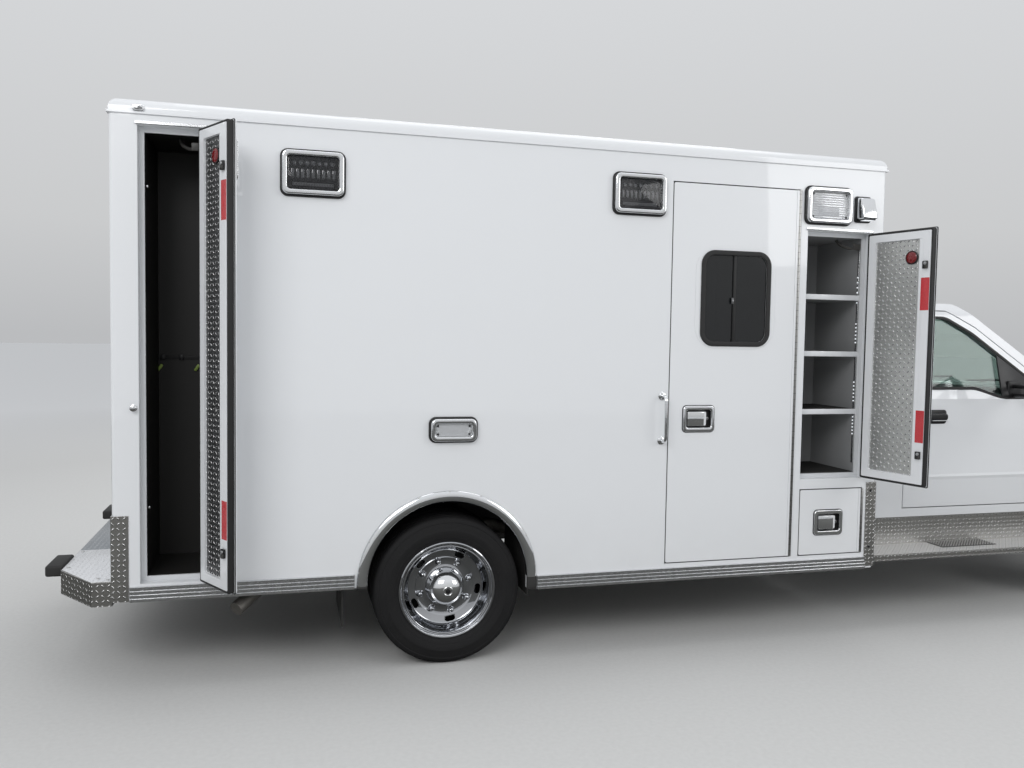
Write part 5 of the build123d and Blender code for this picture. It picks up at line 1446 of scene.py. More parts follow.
# Columns: door, low ends of its tapes, heights of its latch blocks, height of its lamp, finish
OPEN_DOORS = {
    "right_rear_door": ((0.805, 2.310), (0.740, 2.560), 2.620, rear_plate_painted_dark),
    "right_front_door": ((1.222, 1.978), (1.150, 2.235), 2.282, front_plate_painted_light),
}
for door, place in place_of.items():
    width, sill, head = size_of[door]
    latch, window, window_node = FURNITURE.get(door, (None, None, None))
    fittings = Piece(door + "_fittings")
    tapes, blocks, lamp_height, sheet_finish = OPEN_DOORS.get(door, ((), (), None, tread))
    inner_sheet(fittings, place, width, sill, head, sheet_finish, window)
    edge_seal(fittings, place, width, sill, head, door in OPEN_DOORS)
    piano_hinge(fittings, place, sill, head)
    frame_along = width - DOOR_GAP - SEAL_STEP - TAPE_WIDTH / 2 - 0.001
    for low in tapes:
        tape(fittings, place, frame_along, low)
    for height in blocks:
        latch_block(fittings, place, frame_along, height)
    if lamp_height:
        door_lamp(fittings, place, width - 0.140, lamp_height)
    if latch:
        paddle_latch(fittings, place, *latch)
    if door in SURFACE_LATCHES:
        paddle_latch(fittings, place, *SURFACE_LATCHES[door], *UPRIGHT, proud=0.012)
    fittings.finish(door, "polished_aluminium")
    if window:
        glazing = Piece(window_node + "_glazing")
        sliding_window(glazing, place, *window)
        glazing.finish(door, "tinted_glass", (window_node,))

# %% [markdown]
# ## In and round the lockers
# The shelves have white front lips and black ribbed mats. A strip of small lights runs up the front
# jamb, and a thin bright lip over each opening keeps the rain out.


# %% Locker fittings
JAMB_LIP = 0.024
SHELF_HEIGHTS = (2.061, 1.716, 1.362)
SHELF_THICK = 0.026
# Columns: opening, side, back, front, head
OPENINGS = {
    "right_rear": (-1, -1.546, -1.228, 2.778),
    "right_front": (-1, 2.142, 2.581, 2.450),
    "left_front": (1, 2.142, 2.581, 2.450),
    "left_middle": (1, 0.640, 1.300, 1.500),
    "left_rear": (1, -1.546, -0.860, 2.000),
}
SHELF_BACK, SHELF_FRONT = OPENINGS["right_front"][1:3]
lockers = Piece("locker_fittings")
for side, back, front, head in OPENINGS.values():
    middle = station((back + front) / 2)
    lip = slab(front - back + 0.022, 0.012, 0.006, 0.002)
    lockers.add(lip, polished, at(middle, side * (BODY_HALF + 0.0058), head + 0.006))
    web = slab(front - back + 0.022, 0.0015, 0.016, 0.0004, 1)
    lockers.add(web, polished, at(middle, side * (BODY_HALF + 0.0008), head + 0.012))

shelf_wide = SHELF_FRONT - SHELF_BACK - 2 * JAMB_LIP
shelf_middle = station((SHELF_BACK + SHELF_FRONT) / 2)
shelf_edge = -(INNER_HALF - 0.014)
for height in SHELF_HEIGHTS:
    lip = slab(shelf_wide - 0.002, 0.003, SHELF_THICK + 0.006, 0.001)
    lockers.add(lip, paint, at(shelf_middle, shelf_edge - 0.0015, height + 0.003))
mats = [(height + SHELF_THICK / 2, 0.40) for height in SHELF_HEIGHTS] + [(0.962 + JAMB_LIP, 0.43)]
for height, depth in mats:
    mat_middle = shelf_edge + depth / 2 + 0.006
    mat = slab(shelf_wide - 0.012, depth, 0.005, 0.001)
    lockers.add(mat, mat_rubber, at(shelf_middle, mat_middle, height + 0.0026))
    for rib in range(18):
        across = (rib / 17 - 0.5) * (shelf_wide - 0.03)
        bead = slab(0.006, depth - 0.006, 0.003, 0.001, 1)
        lockers.add(bead, mat_rubber, at(shelf_middle + across, mat_middle, height + 0.006))

# Columns: low end and high end of each lit run on the jamb
LIT_RUNS = ((1.225, 1.330), (1.430, 1.545), (1.790, 1.905), (2.035, 2.190))
jamb_x = station(SHELF_FRONT) - JAMB_LIP
channel = slab(0.006, 0.014, 1.33, 0.002)
lockers.add(channel, polished, at(jamb_x - 0.003, shelf_edge + 0.010, 1.71))
for low, high in LIT_RUNS:
    for number in range(6):
        height = low + (high - low) * number / 5
        diode = slab(0.004, 0.008, 0.008, 0.001, 1)
        lockers.add(diode, led_white, at(jamb_x - 0.0075, shelf_edge + 0.010, height))
lockers.finish("chassis", "locker_lining")

# %% [markdown]
# ## Small fittings of the box
# Round the doorways are the things that the crew uses: a striker knob, a stay arm over each open
# door and straps in the tall locker. A dark rubber sheet in each rear wheel well is painted shade, a
# tread plate closes the notch under the rear doors, and marker lamps stand on the roof's edge.

# %% Strikers, stays and straps
trimmings = Piece("box_trimmings")
# Places (ahead, height) of the screws that hold each corner guard
GUARD_SCREWS = ((2.6400, 0.880), (2.6400, 0.530))


def screw_head(rim):
    """A pan-head screw, standing on the origin."""
    return turned(((rim, 0), (rim, 0.002), (0.006, 0.004), (0, 0.0045)), 16)


KNOB_PROFILE = (
    (0, 0), (0.017, 0), (0.017, 0.003), (0.009, 0.005), (0.009, 0.016), (0.015, 0.018), (0.015, 0.024),
    (0.012, 0.026), (0, 0.026),
)
trimmings.add(turned(KNOB_PROFILE, 24), bright, side_wall_at(-1, -1.571, 1.413))
for opening in ("right_rear", "right_front"):
    side, _, front, head = OPENINGS[opening]
    hinge_corner = station(front) - JAMB_LIP
    stay = rod(
        (
            (hinge_corner - 0.015, side * (INNER_HALF - 0.020), head - 0.075),
            (hinge_corner - 0.060, side * (INNER_HALF - 0.045), head - 0.085),
            (hinge_corner - 0.105, side * (INNER_HALF - 0.075), head - 0.060),
            (hinge_corner - 0.115, side * (INNER_HALF - 0.100), head - 0.030),
        ),
        0.009, 12, smooth_by=0.02,
    )
    trimmings.add(stay, black_frame)
    bracket = slab(0.050, 0.004, 0.040, 0.002)
    bracket_place = at(hinge_corner - 0.030, side * (INNER_HALF - 0.012), head - 0.075)
    trimmings.add(bracket, black_frame, bracket_place)

for side in (-1, 1):
    for along, height in GUARD_SCREWS:
        trimmings.add(screw_head(0.0085), seal_rubber, side_wall_at(side, along, height, 0.0035))
    # Painted shade: a dark rubber sheet at the front of each rear wheel well
    well_shade_sheet = slab(0.010, 0.520, 0.470, 0.003)
    trimmings.add(well_shade_sheet, mat_rubber, at(REAR_AXLE + 0.462, side * 0.885, 0.575))
kick_plate = slab(0.004, 0.940, 0.240, 0.001)
trimmings.add(kick_plate, tread, at(station(BODY_REAR) - 0.0068, 0, 0.674))
STRAP_HEIGHT = 1.590
STRAP_Y = -0.705
strap = slab(0.300, 0.003, 0.020, 0.001)
trimmings.add(strap, seal_rubber, at(station(-1.395), STRAP_Y, STRAP_HEIGHT + 0.060))
for along in (-1.500, -1.405, -1.300):
    buckle = slab(0.024, 0.008, 0.028, 0.003)
    trimmings.add(buckle, black_plastic, at(station(along), STRAP_Y - 0.004, STRAP_HEIGHT + 0.060))
for along in (-1.515, -1.325):
    clip = at(station(along), STRAP_Y - 0.006, STRAP_HEIGHT + 0.004) @ turned_by(35, "Y")
    trimmings.add(slab(0.016, 0.008, 0.040, 0.003), clip_green, clip)
for height in (0.905, 2.500):
    catch = slab(0.012, 0.030, 0.014, 0.003)
    trimmings.add(catch, bright, at(station(-1.546) + JAMB_LIP + 0.006, -INNER_HALF + 0.050, height))


print("faces of the small fittings:", len(trimmings.mesh.faces))


# %% Marker lamps
def clearance_lamp(place, lens):
    """A small bright housing with an oval lens."""
    trimmings.add(plate(rounded(0.056, 0.032, 0.0150), 0.009, 0.003, 3), bright, place)
    dome = bmesh.new()
    bmesh.ops.create_uvsphere(dome, u_segments=20, v_segments=10, radius=0.5)
    bmesh.ops.scale(dome, vec=(0.038, 0.017, 0.016), verts=dome.verts)
    trimmings.add(dome, lens, place @ at(0, 0, 0.008))


for side in (-1, 1):
    clearance_lamp(side_wall_at(side, -1.540, 2.8560, 0.001), smoked)
for across in (-1.05, -0.15, 0.0, 0.15, 1.05):
    clearance_lamp(end_wall_at(-1, across, 2.860, 0.001), red_lens)
for across in (-1.05, 1.05):
    clearance_lamp(end_wall_at(1, across, 2.860, 0.001), amber_lens)
print("with marker lamps:", len(trimmings.mesh.faces))

# %% Fuel filler, shore power inlet and the rear fittings
filler = side_wall_at(1, -0.700, 1.020)
ring = turned(((0.060, 0), (0.098, 0), (0.100, 0.004), (0.096, 0.009), (0.070, 0.010), (0.062, 0.004)), 48)
trimmings.add(ring, bright, filler)
lid = turned(((0, 0.012), (0.058, 0.011), (0.064, 0.008), (0.065, 0.003), (0.066, 0.001)), 48)
trimmings.add(lid, bright, filler)
trimmings.add(slab(0.020, 0.030, 0.010, 0.003), bright, filler @ at(-0.074, 0, 0.012))
inlet = side_wall_at(1, 1.700, 1.100)
trimmings.add(plate(rounded(0.110, 0.130, 0.016), 0.006, 0.002), bright, inlet)
trimmings.add(plate(rounded(0.086, 0.096, 0.012), 0.018, 0.005), black_plastic, inlet @ at(0, 0.006, 0.005))
trimmings.add(slab(0.080, 0.012, 0.022, 0.004), black_plastic, inlet @ at(0, 0.056, 0.016))

plate_place = end_wall_at(-1, -0.930, 0.760)
trimmings.add(plate(rounded(0.320, 0.170, 0.012), 0.004, 0.0015), bright, plate_place)
trimmings.add(plate(rounded(0.300, 0.150, 0.008), 0.0015, 0.0005), cabinet_white, plate_place @ at(0, 0, 0.004))
trimmings.add(slab(0.110, 0.022, 0.026, 0.006), bright, plate_place @ at(0, 0.105, 0.014))
REAR_FOOT = ((0, 0), (0.026, 0), (0.026, 0.004), (0.020, 0.008), (0.013, 0.010))
for side in (-1, 1):
    hook = end_wall_at(-1, side * 0.760, 0.990)
    trimmings.add(plate(rounded(0.060, 0.090, 0.010), 0.004, 0.0015), bright, hook)
    trimmings.add(drum(0.011, 0.040, 0.003, 20), seal_rubber, hook @ at(0, 0, 0.004))
    reflector = turned(((0, 0.009), (0.030, 0.008), (0.034, 0.004), (0.036, 0)), 36)
    trimmings.add(reflector, red_lens, end_wall_at(-1, side * 1.120, 0.700))
    wall = (station(BODY_REAR), side * 0.735)
    grab_handle(trimmings, wall, (-1, 0), 0.055, (1.45, 1.95), 0.012, REAR_FOOT)
trimmings.finish("chassis", "bright_chrome")

# %% [markdown]
# ## Cab details
# The cab's panels come from the solid parts. Black rubber frames the glass, the mirrors get their
# glass, the doors get pull handles, and wipers rest on the windscreen.

# %% The cab's side glass
CAB_HALF = 1.016
BELT_Y, BELT_Z = 1.000, 1.480
ROOF_Y, ROOF_Z = 0.875, 2.000
# Columns: ahead of the rear axle, height
WINDOW_OUTLINE = (
    (3.130, 1.503), (3.130, 1.890), (3.170, 1.962), (3.430, 1.962), (3.625, 1.862), (4.045, 1.560),
    (4.045, 1.440), (3.800, 1.440), (3.600, 1.503),
)
MIRROR_X = 3.800
MIRROR_MIDDLE = 1.443
side_slope = math.hypot(BELT_Y - ROOF_Y, ROOF_Z - BELT_Z)
up_slope = (BELT_Y - ROOF_Y) / side_slope, (ROOF_Z - BELT_Z) / side_slope


def glass_side(side):
    """A place on a cab door above the belt: x ahead, y up the glass, z out; its origin is on the belt."""
    rise = Vector((0, -side * up_slope[0], up_slope[1]))
    out = Vector((0, side * up_slope[1], up_slope[0]))
    turn = Matrix((Vector((1, 0, 0)), rise, out)).transposed()
    return Matrix.Translation((REAR_AXLE, side * BELT_Y, BELT_Z)) @ turn.to_4x4()


print("slope of the side glass in degrees:", round(math.degrees(math.asin(up_slope[0])), 1))


# %% Outlines round the glass
def grown(outline, amount):
    """A closed outline pushed outwards by amount along its corners' bisectors."""
    area = sum(a[0] * b[1] - b[0] * a[1] for a, b in zip(outline, outline[1:] + outline[:1]))
    turn = 1 if area > 0 else -1
    result = []
    for before, corner, after in zip(outline[-1:] + outline[:-1], outline, outline[1:] + outline[:1]):
        first = (Vector(corner) - Vector(before)).normalized()
        second = (Vector(after) - Vector(corner)).normalized()
        normal = Vector((first.y + second.y, -first.x - second.x)) * turn
        scale = 2 * amount / max(normal.length_squared, 0.4)
        result.append((corner[0] + normal.x * scale, corner[1] + normal.y * scale))
    return result


CORNER_STEPS = 4


def rounded_corners(outline, radius):
    """An outline with each corner cut by a short arc."""
    result = []
    for before, corner, after in zip(outline[-1:] + outline[:-1], outline, outline[1:] + outline[:1]):
        corner, before, after = Vector(corner), Vector(before), Vector(after)
        reach = min(radius, 0.45 * (before - corner).length, 0.45 * (after - corner).length)
        start = corner + (before - corner).normalized() * reach
        end = corner + (after - corner).normalized() * reach
        for step in range(CORNER_STEPS + 1):
            part = step / CORNER_STEPS
            result.append(tuple(start.lerp(corner, part).lerp(corner.lerp(end, part), part)))
    return result


def on_glass(outline):
    """An outline given by heights, laid on the sloping side glass."""
    return [(x, (z - BELT_Z) / up_slope[1]) for x, z in outline]


print("outline tools ready")

# %% Door fittings and mirrors
window_flat = on_glass(WINDOW_OUTLINE)
sail_flat = on_glass(((3.800, 1.444), (4.036, 1.444), (4.036, 1.556), (3.800, 1.722)))
for side, name in ((-1, "right"), (1, "left")):
    seals = Piece("cab_door_" + name + "_fittings")
    outer = rounded_corners(grown(window_flat, 0.014), 0.04)
    inner = rounded_corners(grown(window_flat, -0.006), 0.035)
    seals.add(hoop(outer, inner, 0.007, 0.002, 2), seal_rubber, glass_side(side) @ at(0, 0, -0.003))
    sail = plate(sail_flat, 0.012, 0.003)
    seals.add(sail, black_plastic, glass_side(side) @ at(0, 0, -0.004))
    handle = facing((station(3.272), side * CAB_HALF, 1.313), (0, side, 0))
    seals.add(plate(rounded(0.158, 0.092, 0.022), 0.006, 0.002), black_plastic, handle)
    seals.add(plate(rounded(0.150, 0.046, 0.018), 0.028, 0.007, 4), black_plastic, handle)
    seals.add(drum(0.009, 0.003, 0.001, 20), satin_metal, handle @ at(side * 0.060, -0.034, 0.005))
    seals.finish("cab_door_" + name, "black_plastic")

    mirror = Piece("mirror_head_" + name)
    middle = Vector((station(MIRROR_X), side * MIRROR_MIDDLE, 1.560))
    shell = slab(0.110, 0.250, 0.400, 0)
    nose = [v for v in shell.verts if v.co.x > 0]
    bmesh.ops.scale(shell, vec=(1, 0.72, 0.82), verts=nose)
    mirror.add(bevelled(shell, 0.026, 4), black_plastic, Matrix.Translation(middle + Vector((0.055, 0, 0))))
    for up, tall in ((0.062, 0.232), (-0.126, 0.110)):
        face = facing(middle + Vector((0, 0, up)), (-1, 0, 0))
        mirror.add(plate(rounded(0.216, tall, 0.026), 0.003, 0.001), seal_rubber, face)
        mirror.add(plate(rounded(0.206, tall - 0.010, 0.022), 0.002, 0.0008), bright, face @ at(0, 0, 0.003))
    for up in (-0.045, -0.105):
        arm = rod(
            (
                (station(3.905), side * 0.990, 1.560 + up), (station(3.870), side * 1.080, 1.560 + up),
                (station(MIRROR_X + 0.050), side * 1.200, 1.560 + up),
                (station(MIRROR_X + 0.055), side * (MIRROR_MIDDLE - 0.07), 1.560 + up),
            ),
            0.014, 12, smooth_by=0.03,
        )
        mirror.add(arm, black_plastic)
    foot = slab(0.110, 0.030, 0.130, 0.010, 3)
    mirror.add(foot, black_plastic, at(station(3.905), side * 1.000, 1.485))
    turn_lens = facing(middle + Vector((0.106, 0, 0.02)), (1, 0, 0))
    mirror.add(slab(0.120, 0.020, 0.012, 0.004), amber_lens, turn_lens)
    mirror.finish("cab_door_" + name, "black_plastic", ("mirror_" + name,))

# %% Wipers and roof lamps
cab_trim = Piece("cab_trim")
SCREEN_LOW = Vector((station(4.420), 0, 1.447))
SCREEN_HIGH = Vector((station(3.545), 0, 2.070))
screen_up = (SCREEN_HIGH - SCREEN_LOW).normalized()
screen_out = screen_up.cross(Vector((0, 1, 0))).normalized()
if screen_out.z < 0:
    screen_out = -screen_out


def on_screen(up, out, across):
    """A point up the windscreen's slope, off the glass and across."""
    return SCREEN_LOW + screen_up * up + screen_out * out + Vector((0, across, 0))


for pivot_y, tip_y in ((0.56, 0.02), (-0.08, -0.62)):
    pivot = on_screen(0.020, 0.020, pivot_y)
    elbow = on_screen(0.120, 0.026, (pivot_y + tip_y) / 2)
    cab_trim.add(rod((pivot, elbow), 0.0065, 8), black_plastic)
    hub = drum(0.018, 0.020, 0.004, 20)
    cab_trim.add(hub, black_plastic, Matrix.Translation(pivot - screen_out * 0.012))
    blade = (on_screen(0.100, 0.014, pivot_y - 0.04), on_screen(0.145, 0.014, tip_y - 0.02))
    cab_trim.add(rod(blade, 0.0075, 8), seal_rubber)
cowl_panel = slab(0.090, 1.66, 0.012, 0.004)
cab_trim.add(cowl_panel, black_plastic, at(station(4.462), 0, 1.452))
for across in (-0.66, -0.36, 0.0, 0.36, 0.66):
    base = facing((station(3.405), across, 2.097), (0, 0, 1), (1, 0, 0))
    cab_trim.add(plate(rounded(0.034, 0.110, 0.016), 0.008, 0.003), black_plastic, base)
    lens = slab(0.026, 0.090, 0.018, 0.008, 4)
    cab_trim.add(lens, amber_lens, base @ at(0, 0, 0.010))
cab_trim.finish("chassis", "black_plastic")

# %% [markdown]
# ## The front end
# The headlamps wrap round the corners. Their covers are copied from the solid part, so they fit its
# form, and behind them stand bright bowls in a dark housing. The grille gets bright bars over a
# dark mesh, and the bumper a blank plate holder and two fog lamps.

# %% Headlamps
NOSE = 5.690
covers = bmesh.new()
covers.from_mesh(nodes["lenses"].data)
behind = [v for v in covers.verts if v.co.x < station(NOSE - 0.245)]
bmesh.ops.delete(covers, geom=behind, context="VERTS")
bmesh.ops.remove_doubles(covers, verts=covers.verts, dist=1e-5)
headlamps = Piece("headlamps")
headlamps.add(covers, clear_lens)
for side in (-1, 1):
    for across, forward, radius in ((0.885, 5.528, 0.044), (0.742, 5.596, 0.070)):
        spot = facing((station(forward), side * across, 1.055), (1, 0, 0))
        bowl_profile = (
            (0.010, -0.045), (0.5 * radius, -0.036), (0.85 * radius, -0.012), (radius, 0.012),
            (radius + 0.006, 0.012), (radius + 0.004, -0.010),
        )
        headlamps.add(turned(bowl_profile, 40), bright, spot)
        bulb = turned(((0.012, -0.044), (0.012, -0.014), (0.008, -0.006), (0, -0.004)), 20)
        headlamps.add(bulb, led_white, spot)
    housing = slab(0.006, 0.318, 0.190, 0.002)
    headlamps.add(housing, black_plastic, at(station(5.454), side * 0.795, 1.050))
    running = slab(0.006, 0.200, 0.012, 0.002)
    headlamps.add(running, led_white, at(station(5.616), side * 0.745, 0.966) @ turned_by(side * -8.4))
headlamps.finish("chassis", "lamp_lens")

# %% Grille and bumper
front_trim = Piece("front_trim")
grille_face = station(NOSE) + 0.006
GRILLE_MIDDLE = 0.995


def grille_mesh():
    """Black plastic with small slots given by bump; the slots are painted darker, as painted shade in them."""
    skin = Finish("grille_mesh", (0.015, 0.015, 0.016), 0.5)
    _, y, z = skin.axes()
    cell = abs((y / 0.022) % 1.0 - 0.5).above(0.34) + abs((z / 0.016) % 1.0 - 0.5).above(0.32)
    bars = cell.clipped()
    # Painted shade: the inside of each slot is painted darker than the bars
    skin.set("Base Color", skin.blend(bars, (0.001, 0.001, 0.001), (0.022, 0.022, 0.023)))
    skin.bump(bars, 0.004, 1.0)
    return skin.material


front_trim.add(slab(0.004, 1.14, 0.26, 0), grille_mesh(), at(station(NOSE) - 0.026, 0, GRILLE_MIDDLE))
for row in range(4):
    height = GRILLE_MIDDLE + (row - 1.5) * 0.070
    front_trim.add(slab(0.006, 1.155, 0.020, 0.0025, 3), bright, at(grille_face, 0, height))
frame_ring = hoop(rounded(1.206, 0.316, 0.020), rounded(1.146, 0.256, 0.014), 0.010, 0.004, 3)
front_trim.add(frame_ring, bright, facing((grille_face - 0.004, 0, GRILLE_MIDDLE), (1, 0, 0)))
BUMPER_ENDS, BUMPER_NOSE = 5.780, 5.872
FOG_ACROSS = 0.66
for side in (-1, 1):
    fog_x = BUMPER_ENDS + (BUMPER_NOSE - BUMPER_ENDS) * (1 - FOG_ACROSS ** 2) + 0.004
    fog = facing((station(fog_x) - 0.012, side * FOG_ACROSS, 0.610), (1, side * 0.12, 0))
    rim = turned(((0.062, 0), (0.064, 0.010), (0.058, 0.016), (0.052, 0.012), (0.050, 0.004)), 40)
    front_trim.add(rim, black_plastic, fog)
    front_trim.add(turned(((0.051, 0.006), (0.030, 0.013), (0, 0.015)), 40), clear_lens, fog)
    front_trim.add(turned(((0.010, -0.020), (0.036, -0.012), (0.051, 0.004)), 40), bright, fog)
holder = facing((station(BUMPER_NOSE) + 0.002, 0, 0.600), (1, 0, 0))
holder_back = plate(rounded(0.320, 0.165, 0.012), 0.006, 0.002)
front_trim.add(holder_back, black_plastic, holder @ at(0, 0, -0.006))
front_trim.add(plate(rounded(0.300, 0.150, 0.008), 0.0015, 0.0005), cabinet_white, holder)
front_trim.finish("chassis", "bright_chrome")

# %% [markdown]
# ## Running boards
# Each board is tread plate with a black ribbed grip where feet land.

# %% Running board grips
boards = Piece("running_board_grips")
BOARD_Z = 0.465
GRIP_ALONG, GRIP_LENGTH, GRIP_Y, GRIP_WIDTH = 3.505, 0.430, 1.005, 0.190
STUD_PITCH = (0.0212, 0.0205)
for side in (-1, 1):
    pad = slab(GRIP_LENGTH, GRIP_WIDTH, 0.003, 0.001)
    boards.add(pad, black_frame, at(station(GRIP_ALONG), side * GRIP_Y, BOARD_Z + 0.0018))
    for row in range(9):
        for column in range(20):
            along = station(GRIP_ALONG) + (column - 9.5) * STUD_PITCH[0]
            across = side * GRIP_Y + (row - 4) * STUD_PITCH[1]
            boards.add(drum(0.0048, 0.003, 0.001, 8), stainless, at(along, across, BOARD_Z + 0.003))
boards.finish("chassis", "black_rubber")

# %% [markdown]
# ## Trims round the rear wheel arches
# A rolled strip of bright metal covers the edge of each arch. Its section is a low dome with a lip
# that turns into the well. Half a turn of that section makes the arch, and a rubber foot closes each
# end against the rub rail.

# %% Arch trims
ARCH_Z = 0.470
TRIM_SECTION = (
    (0.4450, -0.045), (0.4440, -0.002), (0.4390, 0.002), (0.4378, 0.006), (0.4400, 0.0105), (0.4470, 0.0145),
    (0.4580, 0.0160), (0.4710, 0.0152), (0.4830, 0.0115), (0.4900, 0.0065), (0.4925, 0.0010),
)
# Columns: ahead of the axle, thickness, height, distance of the middle from the skin, its height
TRIM_FEET = ((-0.4652, 0.018, 0.014, 0.0062, 0.4605), (0.4652, 0.016, 0.071, 0.0052, 0.4335))
trims = Piece("wheel_arch_trims")
for side in (-1, 1):
    strip = turned(TRIM_SECTION, 90, 180)
    bmesh.ops.solidify(strip, geom=strip.faces[:], thickness=-0.0012)
    trims.add(strip, bright, side_wall_at(side, 0, ARCH_Z - 0.004))
    for ahead_of, thick, tall, out, up in TRIM_FEET:
        foot = slab(0.0545, thick, tall, 0.003)
        trims.add(foot, mat_rubber, at(REAR_AXLE + ahead_of, side * (BODY_HALF + out), up))
    for number in range(9):
        turn = turned_by(8 + number * 20.5)
        screw = turned(((0, 0.003), (0.0028, 0.0022), (0.0045, 0)), 12)
        trims.add(screw, stainless, side_wall_at(side, 0, ARCH_Z) @ turn @ at(0.4865, 0, 0.0085))
trims.finish("chassis", "bright_chrome", ("arch_trims",), crease=40)

# %% [markdown]
# ## Step plates and rubber pieces
# A tread plate is screwed on each end of the rear step, with another between them; the end plates are painted
# bright, as painted light, and the middle one dull, as painted shade. Two dock bumpers stand behind the step,
# and a mud flap hangs behind each pair of rear wheels.

# %% Step plates and rubber pieces
STEP_TOP = 0.550
FLAP_TOP = 0.780
FLAP_BOTTOM = 0.230
# Places (ahead, across) on the step
STEP_CORNERS = ((-1.968, 0.480), (-1.968, 0.896), (-1.776, 1.172), (-1.683, 1.172), (-1.683, 0.480))
STEP_SCREWS = ((-1.948, 0.512), (-1.944, 0.860), (-1.755, 1.110), (-1.705, 1.140), (-1.705, 0.512))
# Painted light and shade: the end plates are a lit copy of the tread plate and the middle one a shaded copy
step_tread_painted_light = tread_plate("step_tread_painted_light", 0, shade=(0.94, 0.95, 0.96), top=(0.84, 0.85, 0.87))
centre_tread_painted_shade = tread_plate("step_centre_tread", 0, shade=(0.66, 0.68, 0.70), top=(0.26, 0.28, 0.30))
steps = Piece("step_plates")
for side in (-1, 1):
    outline = [(station(along), side * across) for along, across in STEP_CORNERS]
    if side > 0:
        outline.reverse()
    steps.add(plate(outline, 0.003, 0.0008), step_tread_painted_light, at(0, 0, STEP_TOP))
    for along, across in STEP_SCREWS:
        place = at(station(along), side * across, STEP_TOP + 0.003)
        steps.add(screw_head(0.009), stainless, place)
steps.add(slab(0.285, 0.954, 0.003, 0.0008), centre_tread_painted_shade, at(station(-1.8255), 0, STEP_TOP + 0.0005))
steps.finish("chassis", "tread_plate")

rubbers = Piece("dock_bumpers_and_flaps")
for side in (-1, 1):
    bumper = slab(0.088, 0.250, 0.058, 0.012, 4)
    rubbers.add(bumper, mat_rubber, at(station(-2.016), side * 0.725, 0.534))
    flap = slab(0.010, 0.450, FLAP_TOP - FLAP_BOTTOM, 0.003)
    rubbers.add(flap, mat_rubber, at(station(-0.561), side * 0.915, (FLAP_TOP + FLAP_BOTTOM) / 2))
rubbers.finish("chassis", "black_rubber", ("rubber_pieces",))

# %% [markdown]
# ## Seats and cushions
# A stuffed cushion bulges between its seams. It starts as a finely divided block; each point is then
# drawn onto a rounded block, the top is crowned, the sides are pulled in between the corners, and
# sewn channels press narrow valleys into the top. The seats stand behind glass, so this shaping in
# code takes the place of a cloth simulation.


# %% Cushions
CUSHION_CUTS = 33
CORNER_POWER = 9
SIDE_PULL = 0.035


def cushion(width, depth, height, crown=0.02, channels=(), cross_channels=()):
    """A stuffed block about the origin with its soft side up."""
    shape = bmesh.new()
    bmesh.ops.create_cube(shape, size=2.0)
    bmesh.ops.subdivide_edges(shape, edges=shape.edges[:], cuts=CUSHION_CUTS, use_grid_fill=True)
    for vert in shape.verts:
        power = sum(abs(part) ** CORNER_POWER for part in vert.co) ** (1 / CORNER_POWER)
        u, v, t = (part / power for part in vert.co)
        x = u * width / 2 * (1 - SIDE_PULL * (1 - v * v))
        y = v * depth / 2 * (1 - SIDE_PULL * (1 - u * u))
        top = max(0.0, t)
        z = t * (height - crown) / 2 - crown / 2 + crown * (1 - u * u) * (1 - v * v) * top
        valleys = sum(math.exp(-(((x - place) / 0.016) ** 2)) for place in channels)
        valleys += sum(math.exp(-(((y - place) / 0.016) ** 2)) for place in cross_channels)
        piping = 1 + 0.012 * math.exp(-(((t - 0.55) / 0.12) ** 2))
        vert.co = (x * piping, y * piping, z - 0.010 * valleys * top)
    return shape


def padded_piece(name, shape, place, finish, node):
    """One cushion as its own piece."""
    pad = Piece(name)
    pad.add(shape, finish, place)
    pad.finish("chassis", "seat_fabric", (node,), crease=80)


SEAT_X = 3.380
SEAT_Y = 0.420
CAB_FLOOR = 0.850
# Which way a leaning backrest faces, and its way up
LEAN = ((0.972, 0, 0.234), (-0.234, 0, 0.972))
for side, name in ((-1, "right"), (1, "left")):
    y = side * SEAT_Y
    base = cushion(0.520, 0.500, 0.170, 0.022, (-0.02,), (-0.155, 0.155))
    back = cushion(0.480, 0.560, 0.120, 0.020, (-0.150, 0.150), (0.05,))
    rest = cushion(0.230, 0.170, 0.090, 0.012)
    for part, shape, place in (
        ("cushion", base, at(station(SEAT_X), y, CAB_FLOOR + 0.290)),
        ("backrest", back, facing((station(3.150), y, 1.475), *LEAN)),
        ("headrest", rest, facing((station(3.068), y, 1.825), (0.98, 0, 0.17), (-0.17, 0, 0.98))),
    ):
        padded_piece("cab_%s_%s" % (part, name), shape, place, seat_cloth, "cab_seats")

seat_frames = Piece("cab_seat_frames")
for side in (-1, 1):
    under_seat = at(station(SEAT_X), side * SEAT_Y, CAB_FLOOR)
    plinth = slab(0.400, 0.380, 0.190, 0.015, 3)
    seat_frames.add(plinth, grey_plastic, under_seat @ at(0, 0, 0.095))
    tray = slab(0.480, 0.460, 0.030, 0.010, 3)
    seat_frames.add(tray, black_plastic, under_seat @ at(0, 0, 0.196))
    for across in (-0.06, 0.06):
        y = side * SEAT_Y + across
        seat_frames.add(rod(((station(3.085), y, 1.700), (station(3.066), y, 1.800)), 0.006, 8), bright)
    shell = slab(0.026, 0.470, 0.560, 0.012, 3)
    lean = facing((station(3.088), side * SEAT_Y, 1.460), *LEAN)
    seat_frames.add(shell, grey_plastic, lean @ turned_by(90, "Y") @ turned_by(90, "X"))
seat_frames.finish("chassis", "seat_fabric", ("cab_seats",))

# %% [markdown]
# ## The patient room
# Through the open doors one sees a long bench with three cushions, the attendant's seat and wall
# cabinets. The cabinets are plain white boxes with framed doors, a finger pull on each.

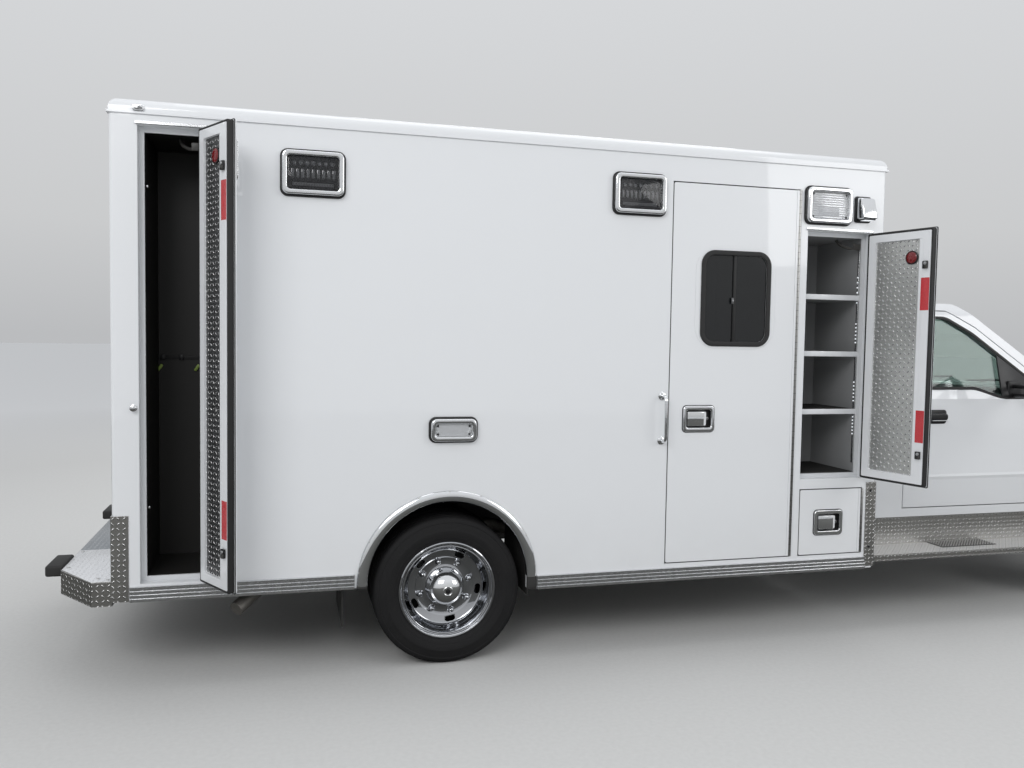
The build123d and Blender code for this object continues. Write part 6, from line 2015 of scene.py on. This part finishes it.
# %% Bench and attendant's seat
BENCH_BACK, BENCH_FRONT, BENCH_HALF, BENCH_TOP = -1.150, 1.050, 0.640, 1.290
bench_width = INNER_HALF - BENCH_HALF
bench_step = (BENCH_FRONT - BENCH_BACK) / 3
for number in range(3):
    pad = cushion(bench_step - 0.010, bench_width - 0.006, 0.075, 0.012, (0.0,), (-0.13, 0.13))
    middle = BENCH_BACK + (number + 0.5) * bench_step
    place = at(station(middle), -(INNER_HALF + BENCH_HALF) / 2, BENCH_TOP + 0.039)
    padded_piece("bench_cushion_%d" % (number + 1), pad, place, seat_vinyl, "room_fittings")
CHAIR_X, CHAIR_Y = 1.750, 0.250
pad = cushion(0.480, 0.480, 0.120, 0.018, (0.0,), (-0.12, 0.12))
place = at(station(CHAIR_X), CHAIR_Y, FLOOR_TOP + 0.440)
padded_piece("attendant_cushion", pad, place, seat_vinyl, "room_fittings")
pad = cushion(0.460, 0.620, 0.100, 0.016, (), (-0.10, 0.16))
place = facing((station(CHAIR_X + 0.200), CHAIR_Y, FLOOR_TOP + 0.825), (-1, 0, 0))
padded_piece("attendant_backrest", pad, place, seat_vinyl, "room_fittings")

# %% Cabinets
room = Piece("room_furniture")


def cabinet(low, high, doors, face):
    """A white box with framed doors on the face that looks across the room."""
    low, high = Vector(low), Vector(high)
    size = high - low
    room.add(slab(*size, 0.004), cabinet_white, Matrix.Translation((low + high) / 2))
    step = size.x / doors
    for number in range(doors):
        across = high.y if face > 0 else low.y
        middle = Vector((low.x + (number + 0.5) * step, across, (low.z + high.z) / 2))
        place = facing(middle, (0, face, 0))
        room.add(plate(rounded(step - 0.012, size.z - 0.014, 0.006), 0.010, 0.002), cabinet_white, place)
        frame_outline = rounded(step - 0.060, size.z - 0.060, 0.012)
        inside = rounded(step - 0.090, size.z - 0.090, 0.008)
        room.add(hoop(frame_outline, inside, 0.006, 0.002), polished, place @ at(0, 0, 0.010))
        room.add(slab(0.090, 0.014, 0.014, 0.004), black_plastic, place @ at(0, 0.14 * size.z, 0.016))


cabinet((station(-1.560), 0.777, 2.060), (station(2.050), INNER_HALF, 2.826), 5, -1)
cabinet((station(-0.725), 0.640, 0.952), (station(0.425), 1.136, 1.500), 2, -1)
cabinet((station(BENCH_BACK), -INNER_HALF, 0.952), (station(BENCH_FRONT), -BENCH_HALF, BENCH_TOP), 3, 1)
STAND_PROFILE = (
    (0, 0), (0.170, 0), (0.165, 0.012), (0.060, 0.030), (0.055, 0.340), (0.110, 0.372), (0, 0.372),
)
room.add(turned(STAND_PROFILE, 40), grey_plastic, at(station(CHAIR_X), CHAIR_Y, FLOOR_TOP))
chair_back = slab(0.030, 0.300, 0.300, 0.008)
room.add(chair_back, grey_plastic, at(station(CHAIR_X + 0.245), CHAIR_Y, FLOOR_TOP + 0.560))
room.finish("chassis", "cabinet_white", ("room_fittings",))
